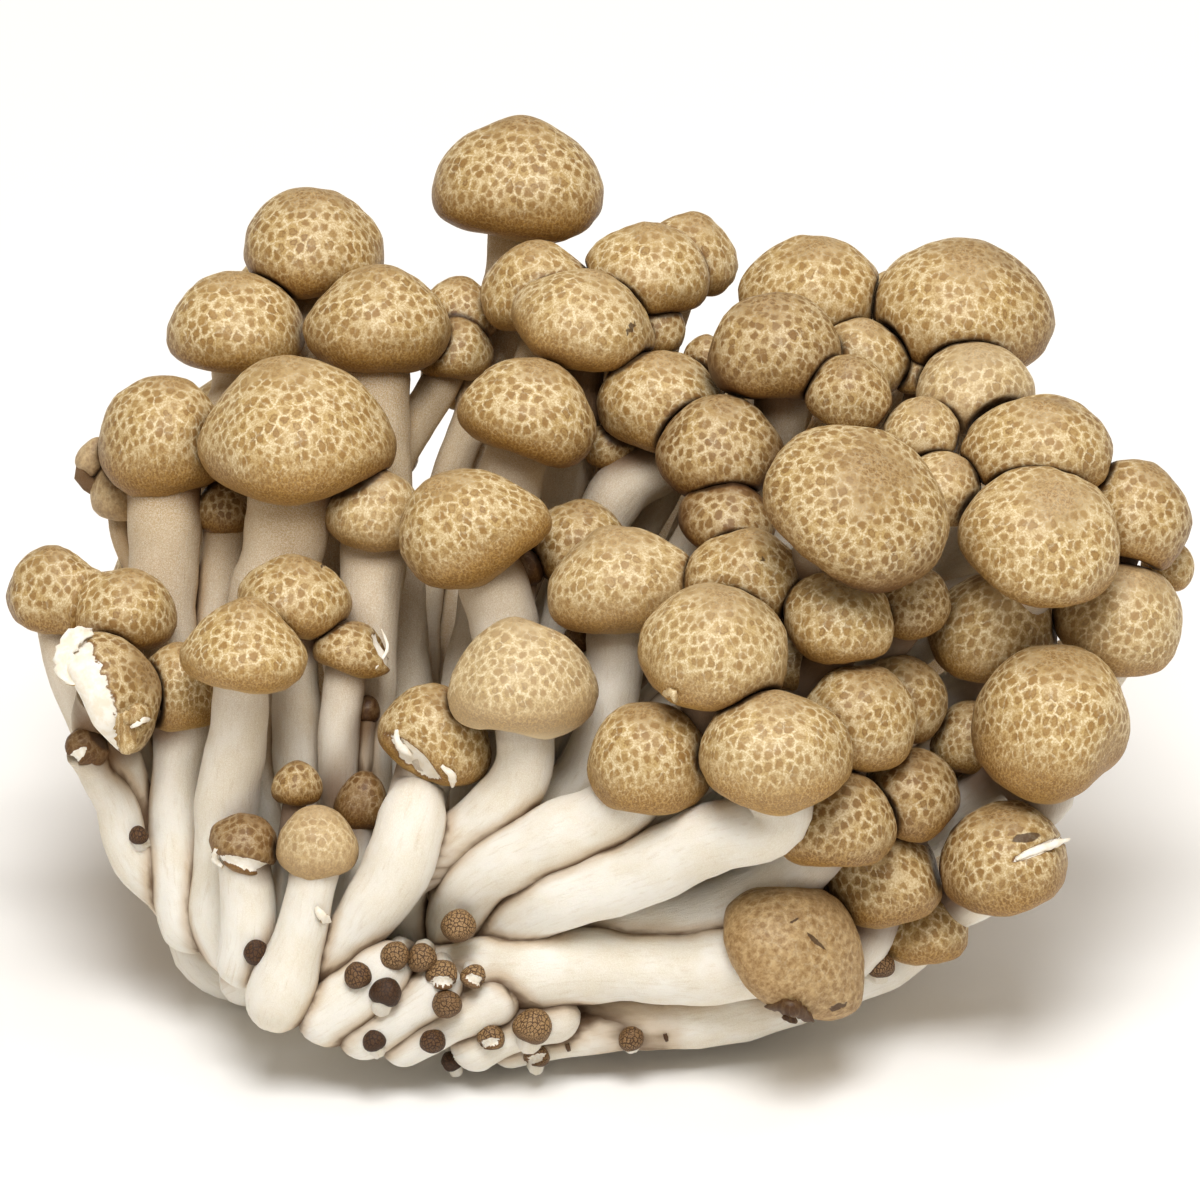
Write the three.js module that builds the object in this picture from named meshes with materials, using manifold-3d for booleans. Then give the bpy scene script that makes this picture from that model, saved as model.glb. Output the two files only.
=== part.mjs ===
// A picked clump of brown beech mushrooms: some ninety stems grown together in one cut foot,
// each with a bun-shaped cap. Millimetres, +Z up, origin at the centre of the flat cut foot.
//
// Every place is first given on the showing side of the clump: `u` to the right, `v` up that side
// and `near` out of it. The side leans back from upright by SIDE_LEAN.

import * as THREE from 'three';
import { mergeVertices } from 'three/addons/utils/BufferGeometryUtils.js';
import Module from 'manifold-3d';

// ---- driving dimensions -------------------------------------------------------------------

const SIDE_LEAN = 28;            // degrees that the showing side leans back
const FOOT = { u: 46, y: 22 };   // centre of the cut foot, along and behind the showing side
const FOOT_SIZE = { wide: 44, deep: 38, high: 21 };   // the lump in which the stems grow together
const FOOT_SINK = 3;             // how far the lump's centre lies above the cut
const HEART = { at: [64, 35, -18], reach: [23, 19, 16] };   // tangle of stems under the inner caps
const HEART_DEPTH = 0.55;        // how far out in it an inner stem ends, as a share of its reach

const CLEAR = 0.3;               // gap left between pieces that touch
const CROWN_SHARE = 0.65;        // share of a cap's height that is above its widest ring
const NECK = 0.25;               // straight stretch under a cap, for each millimetre of its radius
const NECK_CLEAR = 5;            // a stem point nearer than this takes the place of the neck's
const BASE_SHARE = 0.6;          // how wide a stem's base ends where it shows, for each stem radius
const SHOULDER = { share: 0.5, high: 0.83 };   // ring high on a cap: its width and height share
const FLANK = { share: 0.88, high: 0.42 };     // ring half way up a cap
const WIDEST_DROP = 0.15;        // how far down the skirt the widest band reaches
const RIM_SHARE = 0.82;          // width of the rolled-in rim's lowest ring, for each width of cap
const HOLLOW = 0.6;              // how deep the middle of the underside lies, for each skirt height
const STEM_PER_CAP = 0.19;       // stem radius for each millimetre of cap width, where none is given
const STEM_SWELL = 0.18;         // how much thicker a stem is at its root
const SMOOTH_TO = 0.28;          // edges and dents smaller than this are merged after a cut

const CAP_SIDES = 9;
const YOUNG_SIDES = 6;
const PIN_SIDES = 5;
const PIN_RINGS = 3;
const STEM_SIDES = 6;
const INNER_STEM_SIDES = 4;
const PIN_NECK_SIDES = 3;
const FOOT_SIDES = 10;
const FOOT_RINGS = 6;
const HEART_SIDES = 10;
const HEART_RINGS = 5;

const CREAM = new THREE.Color(0.86, 0.80, 0.70);
const TAN = new THREE.Color(0.56, 0.40, 0.22);

// ---- the mushrooms ------------------------------------------------------------------------
// name, u, v, near, cap width, height for each width, lean to the right, nod outwards,
// stem radius, points that the stem passes from its cap down to the foot, with the radius there
// where it is known, and whether the stem's base shows; a stem without points runs into the
// heart of the clump

const CAPS = [
  // top left
  ['cap_a', 51.8, 89.6, -28, 17.9, 0.64, 0, 15, 3.2, [[51.4, 76, -28], [48, 56, -24], [45, 34, -17]]],
  ['cap_b', 31.3, 82.9, -25, 14.6, 0.66, 6, 22, 2.8, []],
  ['cap_c', 23.6, 74.8, -19, 14.0, 0.66, 0, 20, 2.7, [[22, 62, -19], [24, 42, -17]]],
  ['cap_d', 37.5, 75.3, -15, 14.6, 0.70, 0, 14, 3.1, [[37.7, 64, -14], [39, 48, -12], [41, 28, -10]]],
  ['cap_e', 29.6, 64.2, -3, 19.4, 0.66, -3, 18, 4.0, [[28.6, 53, -4], [26.8, 44, -5], [28, 26, -6]]],
  ['cap_f', 16.3, 63.6, -11, 13.3, 0.86, 0, 16, 3.4, [[16.4, 52, -10], [16.2, 40, -10], [20, 23, -11]]],
  // top middle
  ['cap_i', 53.7, 78.3, -17, 11.4, 0.72, -8, 25, 2.4, []],
  ['cap_j', 58.8, 75.2, -9, 14.9, 0.62, 18, 15, 2.5, [[57.6, 66, -11], [55, 50, -13], [49, 30, -12]]],
  ['cap_k', 64.8, 80.2, -17, 12.6, 0.66, 5, 20, 2.4, []],
  ['cap_l', 69.2, 81.6, -24, 10.2, 0.72, 12, 20, 1.8, [[66.1, 72, -26, 1.8], [60, 50, -22]]],
  ['cap_ac', 53.0, 66.0, -3, 13.8, 0.68, 12, 18, 3.1, [[50.6, 57, -6], [48.6, 44, -7], [46, 28, -7]]],
  ['cap_ad', 66.3, 67.0, -7, 13.0, 0.70, -3, 22, 2.7, [[62, 57.6, -8], [56, 45, -9], [49, 28, -9]]],
  ['cap_ae', 72.0, 62.4, 0, 12.9, 0.74, 3, 25, 2.6, []],
  // top right
  ['cap_m', 81.2, 78.3, -15, 14.0, 0.64, 3, 25, 2.6, []],
  ['cap_n', 96.5, 76.5, -14, 18.0, 0.62, 8, 28, 3.2, []],
  ['cap_o', 77.4, 72.5, -3, 13.7, 0.74, -6, 22, 2.8, []],
  ['cap_p', 86.7, 71.4, -9, 9.0, 0.72, 10, 30, 2.0, []],
  ['cap_q', 84.9, 67.7, 1, 8.8, 0.75, 5, 35, 1.9, []],
  ['cap_r', 97.4, 68.2, -5, 12.2, 0.62, 5, 28, 2.4, []],
  ['cap_t', 92.3, 64.0, 2, 8.3, 0.66, 10, 30, 1.8, []],
  ['cap_u', 94.3, 58.0, 6, 8.6, 0.72, 25, 35, 1.9, []],
  ['cap_v', 103.7, 62.6, 3, 15.2, 0.60, 4, 24, 2.8, []],
  // right
  ['cap_w', 103.8, 53.0, 11, 16.5, 0.62, 12, 44, 2.9, []],
  ['cap_x', 113.6, 55.6, 1, 11.4, 0.82, 20, 22, 1.8, []],
  ['cap_y', 112.1, 45.4, 2, 13.2, 0.80, 20, 33, 2.6, []],
  ['cap_z', 105.2, 34.9, 10, 15.6, 0.88, 6, 25, 2.5, [[101.2, 29.6, 4], [95, 25, -2], [82, 18, -5]]],
  ['cap_aa', 99.3, 44.3, 1, 13.2, 0.72, 12, 32, 2.6, []],
  ['cap_ab', 85.5, 56.2, 18, 18.9, 0.62, 30, 46, 3.2, []],
  ['cap_ak', 90.8, 47.0, 8, 8.6, 0.75, 15, 35, 1.9, []],
  ['cap_am', 90.2, 37.2, 5, 9.6, 0.78, 20, 30, 2.0, []],
  // middle
  ['cap_af', 72.8, 55.2, 4, 9.8, 0.66, 5, 24, 2.1, []],
  ['cap_ag', 74.6, 49.6, 11, 12.1, 0.68, 3, 27, 2.4, []],
  ['cap_ah', 71.4, 42.4, 19, 15.3, 0.74, 6, 25, 2.8, []],
  ['cap_aj', 83.9, 45.3, 14, 11.2, 0.68, 12, 32, 2.3, []],
  ['cap_ay', 57.8, 52.7, -2, 10.6, 0.72, 0, 20, 2.3, [[56, 43, -3], [50, 28, -5]]],
  ['cap_az', 61.7, 49.2, 8, 14.1, 0.68, -10, 18, 2.8, [[61.4, 40, 6], [59, 30, 5], [51, 20, 3]]],
  ['cap_aw', 46.7, 54.7, 5, 14.6, 0.74, -22, 15, 3.2, [[50.5, 44, 3], [49.5, 32, 0]]],
  ['cap_ax', 37.4, 56.0, -2, 9.5, 0.80, 0, 25, 3.1, [[36.8, 45, -2], [36, 34, -1], [37, 20, -1]]],
  // lower right
  ['cap_al', 86.2, 35.5, 13, 11.7, 0.82, 18, 30, 2.3, []],
  ['cap_an', 77.5, 32.3, 22, 15.4, 0.70, 0, 20, 3.2,
    [[71.2, 23, 17.4, 3.7], [64, 19.7, 14, 3.6], [55, 16.6, 10.6, 3.4]]],
  ['cap_ao', 65.0, 31.2, 17, 12.0, 0.86, 4, 22, 3.1,
    [[60.6, 25, 13.6, 3.6], [55, 22.6, 12, 3.6], [48, 19, 9, 3.3]]],
  ['cap_ap', 83.5, 25.3, 14, 12.6, 0.70, 8, 25, 2.8,
    [[79, 19.6, 9, 3.2], [71, 15.6, 7, 3.3], [60, 13.4, 5, 3.2]]],
  ['cap_aq', 90.9, 27.8, 8, 10.7, 0.76, 5, 25, 2.2, [[86, 19, -4], [72, 12, -3]]],
  ['cap_as', 100.2, 21.6, 8, 13.4, 0.74, -10, 28, 2.4,
    [[97.8, 17.6, 3.2], [91, 14, -5, 2.6], [80, 10, -7, 2.8]]],
  ['cap_at', 88.5, 19.9, 6, 11.8, 0.84, 0, 28, 2.3, [[85.6, 11.4, 4], [74, 8, 2]]],
  ['cap_au', 92.1, 14.5, 0, 9.8, 0.72, 5, 20, 2.3,
    [[89.4, 11, -2.4, 2.6], [80, 7.6, 1, 2.9], [70, 5.2, 2.6, 3.1], [60, 4.8, 3, 3.0]]],
  ['cap_av', 79.8, 12.6, 10, 15.6, 0.70, 48, 20, 3.5,
    [[70, 10.1, 8, 3.7], [60, 10.3, 7.6, 3.9], [52, 9.6, 7, 4.0], [46, 9, 4, 3.8]]],
  // lower left
  ['cap_ba', 52.2, 39.4, 13, 15.0, 0.72, 0, 16, 2.8,
    [[52.4, 30, 11, 3.0], [50, 26, 10, 3.1], [45.6, 22.4, 8, 3.0], [40, 18.6, 5, 2.8]]],
  ['cap_bb', 43.8, 33.4, 8, 11.4, 0.78, 18, 20, 2.9,
    [[41.2, 24.5, 11, 3.4], [39.6, 19.6, 11, 3.4], [36.8, 15.4, 10, 3.1], [32.4, 9, 6, 2.4]]],
  ['cap_bc', 29.5, 47.3, 4, 11.0, 0.66, 4, 18, 2.3, [[29.6, 38, 1], [31, 25, -1]]],
  ['cap_bd', 24.4, 42.3, 11, 12.6, 0.66, 2, 15, 2.8,
    [[23.9, 33.4, 6, 2.9], [22.8, 27, 4, 3.1], [22.4, 21, 2, 3.1], [22.4, 13, 0, 2.9]]],
  ['cap_bf', 5.3, 48.0, -6, 9.4, 0.86, -8, 28, 2.0, [[6.6, 40, -7], [9.6, 33, -8], [17.6, 18, -9]]],
  ['cap_bh', 11.7, 37.8, 4, 13.2, 0.62, 64, 20, 2.4,
    [[9.6, 34.2, 0.5], [11.8, 30, -2], [13.6, 25, -4], [18.4, 16, -6]]],
  ['cap_bo', 31.9, 22.8, 11, 8.3, 0.82, 2, 15, 2.2,
    [[31.0, 17, 11, 2.5], [30, 13, 10.6, 2.6], [28.6, 8.8, 10, 3.2], [26.9, 3.8, 8.6, 3.6]], 'base shows'],
  ['cap_bp', 24.7, 22.7, 9, 7.2, 0.72, 24, 20, 2.2,
    [[24.8, 17.6, 8, 2.8], [24.9, 14, 8, 2.8], [24.4, 10.8, 7, 2.7], [23.8, 9.2, 5, 2.5]], 'base shows'],
];

// Young and half-hidden mushrooms, grown fast to the clump: same columns without a name.
const YOUNG = [
  [45.8, 76.0, -22, 8.2, 0.74, 8, 20, 1.8, []],
  [45.4, 72.2, -19, 8.0, 0.74, 5, 20, 1.9, []],
  [79.2, 41.0, 8, 6.8, 0.80, 5, 25, 1.6, []],
  [97.1, 33.3, 1, 8.6, 0.80, 0, 25, 1.8, []],
  [18.2, 38.2, 0, 8.6, 0.98, 0, 20, 2.8,
    [[17.5, 27, -2, 2.6], [17.9, 21, -2, 3.1], [18.8, 15.4, -2, 3.3], [20.4, 11.8, -1, 3.1]], 'base shows'],
  [12.9, 46.2, -3, 10.2, 0.72, 10, 24, 1.9, [[12.2, 38, -6], [14.4, 28, -8], [18, 17, -9]]],
  [12.0, 57.8, -15, 6.2, 0.90, 0, 20, 1.3, [[14, 48, -15], [15.2, 34, -14], [19, 20, -13]]],
  [22.6, 56.2, -11, 6.2, 0.84, 0, 15, 2.3, [[21.8, 47, -11], [22, 34, -11], [25, 20, -11]]],
  [35.1, 42.1, 5, 7.4, 0.62, 10, 15, 1.9, [[34, 34, 4], [34.4, 24, 2]]],
  [29.7, 28.5, 7, 5.1, 0.82, 0, 15, 1.1, [[28.9, 22, 6], [28.4, 15, 4]]],
  [36.3, 26.8, 5, 5.2, 1.10, 20, 15, 1.5, [[35.4, 20, 5], [35, 13, 3]]],
  [9.0, 32.3, 0, 4.2, 0.84, 25, 15, 1.7,
    [[11.2, 27.2, -0.8, 2.1], [13, 21.8, -2, 2.5], [17.2, 17.6, -4, 2.5]]],
];

// Mushrooms on the far side, grown fast to the clump: u, v, near, cap width.
const FAR_SIDE = [
  [29, 78, -36, 14], [49, 71, -34, 14], [62, 76, -36, 13], [82, 75, -33, 13], [91, 75, -31, 14],
  [99, 64, -23, 12],
  [24, 65, -37, 14], [35, 63, -45, 14], [56, 66, -46, 15], [72, 66, -44, 15], [88, 63, -40, 15],
  [17, 51, -31, 13], [32, 52, -48, 15], [48, 52, -55, 15], [65, 53, -56, 16], [82, 50, -51, 15],
  [99, 48, -33, 14],
  [25, 38, -41, 13], [42, 39, -53, 14], [60, 39, -57, 15], [78, 37, -52, 15], [94, 32, -36, 14],
];

// Stems that lie low round the foot: radius, points from tip to root, and whether the base shows.
const LOW_STEMS = [
  [2.6, [[58, 5.4, 6.6], [52.4, 4.4, 6.8], [45.4, 1.2, 5.6]], 'base shows'],
  [2.5, [[52, 7.6, 8.6], [45.8, 5.2, 8.6], [38.4, 1.4, 6.6]], 'base shows'],
  [2.7, [[46, 9.4, 9.6], [40.8, 6, 9.6], [34.2, 2.2, 7.6]], 'base shows'],
  [3.2, [[40.6, 12, 10], [36, 7.4, 9.6], [30.4, 3.6, 7.4]], 'base shows'],
  [2.3, [[68, 4.5, 3.4], [60, 3.8, 4], [49, 1.8, 3.6]], 'base shows'],
  [2.6, [[27, 10, 2], [24.5, 8.8, -3], [31, 10, -9]]],
  [2.5, [[19.6, 16.8, -8], [19.8, 11.4, -9], [23.8, 9, -10], [31, 10, -12]]],
  [2.5, [[90, 12, -10], [78, 8, -9], [64, 6, -8], [52, 8, -8]]],
  [2.6, [[96, 22, -20], [82, 16, -20], [66, 12, -18], [54, 12, -16]]],
];

// Pin-sized buttons budding round the foot: u, v, near, radius.
const PINS = [
  [45.9, 14.4, 11, 1.8], [39.5, 11.4, 12, 1.5], [42.2, 11.1, 12, 1.5], [35.8, 9.4, 11, 1.3],
  [44.3, 9.5, 12, 1.5], [47.4, 9.3, 12, 1.2], [38.7, 7.8, 11, 1.7], [44.7, 6.5, 10, 1.4],
  [49.1, 3.2, 6.5, 1.3], [53.3, 4.4, 8.6, 1.8], [53.7, 1.4, 4.8, 1.2], [43.3, 2.8, 6, 1.3],
  [45.2, 0.8, 4.4, 1.0], [37.4, 2.9, 5.4, 1.1], [63.1, 3.0, 5.6, 1.4], [88.0, 10.4, 3.6, 1.4],
  [25.8, 11.6, 5, 1.2], [13.9, 23.3, 0.4, 0.9],
];

// ---- places -------------------------------------------------------------------------------

const radians = THREE.MathUtils.degToRad;
const leanSin = Math.sin(radians(SIDE_LEAN));
const leanCos = Math.cos(radians(SIDE_LEAN));

const place = ([u, v, near]) => new THREE.Vector3(
  u - FOOT.u,
  v * leanSin - near * leanCos - FOOT.y,
  v * leanCos + near * leanSin,
);

// The way a cap points: `lean` to the right on the showing side, `nod` out of it.
function pointing(lean, nod) {
  const up = Math.cos(radians(nod));
  const across = Math.sin(radians(lean)) * up;
  const along = Math.cos(radians(lean)) * up;
  const out = Math.sin(radians(nod));
  return new THREE.Vector3(across, along * leanSin - out * leanCos, along * leanCos + out * leanSin);
}

// ---- solids -------------------------------------------------------------------------------

const wasm = await Module();
wasm.setup();

// A closed three.js geometry as a solid, its faces turned outwards.
function solid(geometry) {
  const bare = geometry.clone();
  bare.deleteAttribute('normal');
  bare.deleteAttribute('uv');
  const merged = mergeVertices(bare, 1e-4);
  const corners = merged.index.array;
  const faces = [];
  for (let i = 0; i < corners.length; i += 3) {
    const [a, b, c] = [corners[i], corners[i + 1], corners[i + 2]];
    if (a !== b && b !== c && c !== a) faces.push(a, b, c);
  }
  const build = (triVerts) => new wasm.Manifold(new wasm.Mesh({
    numProp: 3,
    vertProperties: Float32Array.from(merged.attributes.position.array),
    triVerts: Uint32Array.from(triVerts),
  }));
  const made = build(faces);
  return made.volume() > 0 ? made : build(faces.reverse());
}

// A solid as a three.js geometry.
function geometryOf(shape) {
  const { vertProperties, triVerts } = shape.getMesh();
  const geometry = new THREE.BufferGeometry();
  geometry.setAttribute('position', new THREE.BufferAttribute(Float32Array.from(vertProperties), 3));
  geometry.setIndex(Array.from(triVerts));
  geometry.computeVertexNormals();
  return geometry;
}

// The largest body of a solid, without the scraps that a cut leaves.
const largest = (shape) => shape.decompose().reduce((a, b) => (b.volume() > a.volume() ? b : a));

// ---- caps ---------------------------------------------------------------------------------

// Where a cap's widest ring lies, how it points and how high it is above and below that ring.
function capForm([u, v, near, width, ratio, lean, nod]) {
  const radius = width / 2;
  const crown = width * ratio * CROWN_SHARE;
  const skirt = width * ratio * (1 - CROWN_SHARE);
  const seen = (height) => Math.hypot(height * Math.cos(radians(nod)), radius * Math.sin(radians(nod)));
  const drop = (seen(crown) - seen(skirt)) / 2;
  const centre = place([u - drop * Math.sin(radians(lean)), v - drop * Math.cos(radians(lean)), near]);
  return { at: [u, v, near], centre, axis: pointing(lean, nod), radius, crown, skirt };
}

// Bun-shaped cap with a rolled-in rim and a hollowed underside, `extra` larger all round.
function capSolid({ centre, axis, radius, crown, skirt }, sides, extra = 0) {
  const ring = (share, height) => new THREE.Vector2(share * radius + extra, height);
  const profile = [
    new THREE.Vector2(0, crown + extra),
    ring(SHOULDER.share, crown * SHOULDER.high + extra * SHOULDER.high),
    ring(FLANK.share, crown * FLANK.high + extra * FLANK.high),
    ring(1.0, -skirt * WIDEST_DROP),
    ring(RIM_SHARE, -skirt - extra),
    new THREE.Vector2(0, -skirt * HOLLOW - extra),
  ];
  const geometry = new THREE.LatheGeometry(profile, sides);
  geometry.applyQuaternion(new THREE.Quaternion().setFromUnitVectors(new THREE.Vector3(0, 1, 0), axis));
  geometry.translate(centre.x, centre.y, centre.z);
  return solid(geometry);
}

// ---- stems --------------------------------------------------------------------------------

// Where a stem ends: inside the foot, drawn a little towards the last point that it passes.
const HUB = [44, 9, -13];
const ROOT_SPREAD = { u: 0.24, v: 0.12, near: 0.3 };
const rootOf = ([u, v, near]) => place([
  HUB[0] + (u - HUB[0]) * ROOT_SPREAD.u,
  HUB[1] + (v - HUB[1]) * ROOT_SPREAD.v,
  HUB[2] + (near - HUB[2]) * ROOT_SPREAD.near,
]);

// Where an inner stem ends, in the heart on the side of its cap.
function heartPoint({ at: [u, v, near] }) {
  const offset = [u - HEART.at[0], v - HEART.at[1], near - HEART.at[2]];
  const share = Math.hypot(...offset.map((length, i) => length / HEART.reach[i]));
  return place(offset.map((length, i) => HEART.at[i] + (length * HEART_DEPTH) / share));
}

// A stem from under its cap, through its points, down into the foot or the heart: its points
// with the radius at each.
const TOP_GAP = 1.4 * CLEAR;     // clear of the hollow of the underside
function stemPath({ form, radius, ways, baseShows }) {
  const slope = (1 - HOLLOW) * ((radius + CLEAR) / (RIM_SHARE * form.radius));
  const under = form.skirt * (HOLLOW + slope) + TOP_GAP;
  const below = (depth) => form.centre.clone().addScaledVector(form.axis, -depth);
  const path = [{ at: below(form.fast ? 0 : under), radius }];
  const neck = below(under + form.radius * NECK);
  if (ways.length === 0 || neck.distanceTo(place(ways[0])) > NECK_CLEAR) path.push({ at: neck, radius });
  ways.forEach((way, i) => {
    const fuller = radius * (1 + (STEM_SWELL * (i + 1)) / (ways.length + 1));
    path.push({ at: place(way), radius: way[3] ?? fuller });
  });
  const end = path[path.length - 1].radius;
  if (ways.length === 0) path.push({ at: heartPoint(form), radius: radius * (1 + STEM_SWELL) });
  else if (baseShows) path[path.length - 1].radius = end * BASE_SHARE;
  else path.push({ at: rootOf(ways[ways.length - 1]), radius: end });
  return path;
}

// A low stem's points with the radius at each.
function lowPath([radius, ways, baseShows]) {
  return ways.map((way, i) => ({
    at: place(way),
    radius: baseShows && i === ways.length - 1 ? radius * BASE_SHARE : radius,
  }));
}

// Radius at a share of a path's length, drawn evenly from one point's to the next.
function radiusAt(path, share) {
  const reach = [0];
  for (let i = 1; i < path.length; i += 1) reach.push(reach[i - 1] + path[i].at.distanceTo(path[i - 1].at));
  const length = share * reach[path.length - 1];
  const after = Math.max(1, reach.findIndex((far) => far >= length - SMOOTH_TO));
  const part = (length - reach[after - 1]) / (reach[after] - reach[after - 1]);
  return path[after - 1].radius + (path[after].radius - path[after - 1].radius) * part;
}

// A round bar along a path, made by bending a turned one.
function stemSolid(path, sides, extra = 0) {
  const curve = new THREE.CatmullRomCurve3(path.map(({ at }) => at));
  const steps = path.length - 1;
  const profile = [new THREE.Vector2(0, 0)];
  for (let i = 0; i <= steps; i += 1) {
    profile.push(new THREE.Vector2(radiusAt(path, i / steps) + extra, i / steps));
  }
  profile.push(new THREE.Vector2(0, 1));
  const bar = new THREE.LatheGeometry(profile, sides);
  const frames = curve.computeFrenetFrames(steps, false);
  const spot = bar.attributes.position;
  for (let i = 0; i < spot.count; i += 1) {
    const step = Math.round(spot.getY(i) * steps);
    const at = curve.getPointAt(step / steps)
      .addScaledVector(frames.normals[step], spot.getX(i))
      .addScaledVector(frames.binormals[step], spot.getZ(i));
    if (step === 0) at.addScaledVector(frames.tangents[0], -extra);
    spot.setXYZ(i, at.x, at.y, at.z);
  }
  return solid(bar);
}

// Far-side caps point up and away from the foot, and the lowest of them have stems down to it.
const FAR_INNER_FROM = 42;
const FAR_RATIO = 0.68;          // height of a far-side cap for each width
const FAR_LEAN = 0.45;           // degrees of lean for each millimetre beside the hub
const FAR_BEND = [0.35, 0.42, 0.22];   // how far towards the hub its stem bends, in u, v and near
function farRow([u, v, near, width]) {
  const bend = [u, v, near].map((from, i) => from + (HUB[i] - from) * FAR_BEND[i]);
  const nod = SIDE_LEAN + near - HUB[2];
  const ways = v > FAR_INNER_FROM ? [] : [bend];
  return [u, v, near, width, FAR_RATIO, (u - HUB[0]) * FAR_LEAN, nod, width * STEM_PER_CAP, ways];
}

// A pin is a button on a short neck that runs back into the stems behind it.
const PIN_NECK = 5;
const PIN_NECK_SHARE = 0.62;     // width of its neck for each width of the button
const PIN_PULL = 0.1;            // how far towards the hub its neck runs
const PIN_RISE = 1;              // and up
const PIN_SQUAT = 0.9;
function pinSolids([u, v, near, radius], extra = 0) {
  const top = place([u, v, near]);
  const back = place([
    u + (HUB[0] - u) * PIN_PULL,
    v + (HUB[1] - v) * PIN_PULL + PIN_RISE,
    near - PIN_NECK,
  ]);
  const button = new THREE.SphereGeometry(radius + extra, PIN_SIDES, PIN_RINGS);
  button.scale(1, PIN_SQUAT, 1);
  button.applyQuaternion(new THREE.Quaternion().setFromUnitVectors(
    new THREE.Vector3(0, 1, 0),
    top.clone().sub(back).normalize(),
  ));
  button.translate(top.x, top.y, top.z);
  const slim = radius * PIN_NECK_SHARE;
  const neck = [{ at: top, radius: slim }, { at: back, radius: slim * (1 + STEM_SWELL) }];
  return [solid(button), stemSolid(neck, PIN_NECK_SIDES, extra)];
}

// ---- the clump of stems -------------------------------------------------------------------

function footSolid(extra = 0) {
  const { wide, deep, high } = FOOT_SIZE;
  const lump = new THREE.SphereGeometry(0.5, FOOT_SIDES, FOOT_RINGS);
  lump.rotateX(Math.PI / 2);
  lump.scale(wide + 2 * extra, deep + 2 * extra, high + 2 * extra);
  lump.translate(0, 0, FOOT_SINK);
  return solid(lump);
}

// A row's cap with what its stem needs; `fast` for a cap that is grown fast to the clump.
function mushroom(row, fast) {
  const [radius, ways, baseShows] = row.slice(7);
  return { form: { ...capForm(row), fast }, radius, ways, baseShows };
}

const mushrooms = CAPS.map(([name, ...row]) => ({ name, ...mushroom(row, false) }));
const grown = [...YOUNG, ...FAR_SIDE.map(farRow)].map((row) => mushroom(row, true));

function allStems(extra) {
  const bars = [
    ...[...mushrooms, ...grown].map((row) => (
      stemSolid(stemPath(row), row.ways.length > 0 ? STEM_SIDES : INNER_STEM_SIDES, extra)
    )),
    ...LOW_STEMS.map((row) => stemSolid(lowPath(row), STEM_SIDES, extra)),
    ...grown.map(({ form }) => capSolid(form, YOUNG_SIDES, extra)),
  ];
  return wasm.Manifold.union(bars);
}

function heartSolid(extra = 0) {
  const lump = new THREE.SphereGeometry(1, HEART_SIDES, HEART_RINGS);
  lump.scale(...HEART.reach.map((length) => length + extra));
  const spot = lump.attributes.position;
  for (let i = 0; i < spot.count; i += 1) {
    const [u, v, near] = HEART.at;
    const at = place([u + spot.getX(i), v + spot.getY(i), near + spot.getZ(i)]);
    spot.setXYZ(i, at.x, at.y, at.z);
  }
  return solid(lump);
}

const cutFlat = (shape) => shape.trimByPlane([0, 0, 1], 0);

// Everything that holds together with the stems, `extra` larger all round.
function wholeClump(extra = 0) {
  return wasm.Manifold.union([
    allStems(extra),
    footSolid(extra),
    heartSolid(extra),
    ...PINS.flatMap((pin) => pinSolids(pin, extra)),
  ]);
}

// ---- assembly -----------------------------------------------------------------------------

const clump = new THREE.Group();
clump.name = 'beech_mushroom_cluster';

const STEM_ROUGHNESS = 0.7;
const CAP_ROUGHNESS = 0.55;
function addPiece(name, shape, color, roughness) {
  const material = new THREE.MeshStandardMaterial({ color, roughness, metalness: 0 });
  const piece = new THREE.Mesh(geometryOf(shape), material);
  piece.name = name;
  clump.add(piece);
}

addPiece('stem_clump', largest(cutFlat(wholeClump()).simplify(SMOOTH_TO)), CREAM, STEM_ROUGHNESS);

// Caps press against each other: the one that stands further out keeps its shape, and the ones
// behind it and all stems dent the rest.
const outermostFirst = [...mushrooms].sort((a, b) => a.form.centre.y - b.form.centre.y);
const stemRoom = wholeClump(CLEAR);
const taken = [];
for (const { name, form } of outermostFirst) {
  const around = taken.filter((other) => (
    other.centre.distanceTo(form.centre) < other.radius + form.radius + 2 * CLEAR
  ));
  const room = wasm.Manifold.union([stemRoom, ...around.map((other) => capSolid(other, CAP_SIDES, CLEAR))]);
  const cap = largest(cutFlat(capSolid(form, CAP_SIDES)).subtract(room).simplify(SMOOTH_TO));
  addPiece(name, cap, TAN, CAP_ROUGHNESS);
  taken.push(form);
}

export default clump;
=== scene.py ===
"""A picked clump of brown beech mushrooms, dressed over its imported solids.

Each cap of the showing side replaces its own solid. The stems, the young mushrooms, those of the
far side, the foot and the pin-sized buttons together replace the clump that carries the caps.
"""
import math

import bpy
import numpy as np
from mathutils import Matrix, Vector
from mathutils.kdtree import KDTree


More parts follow.
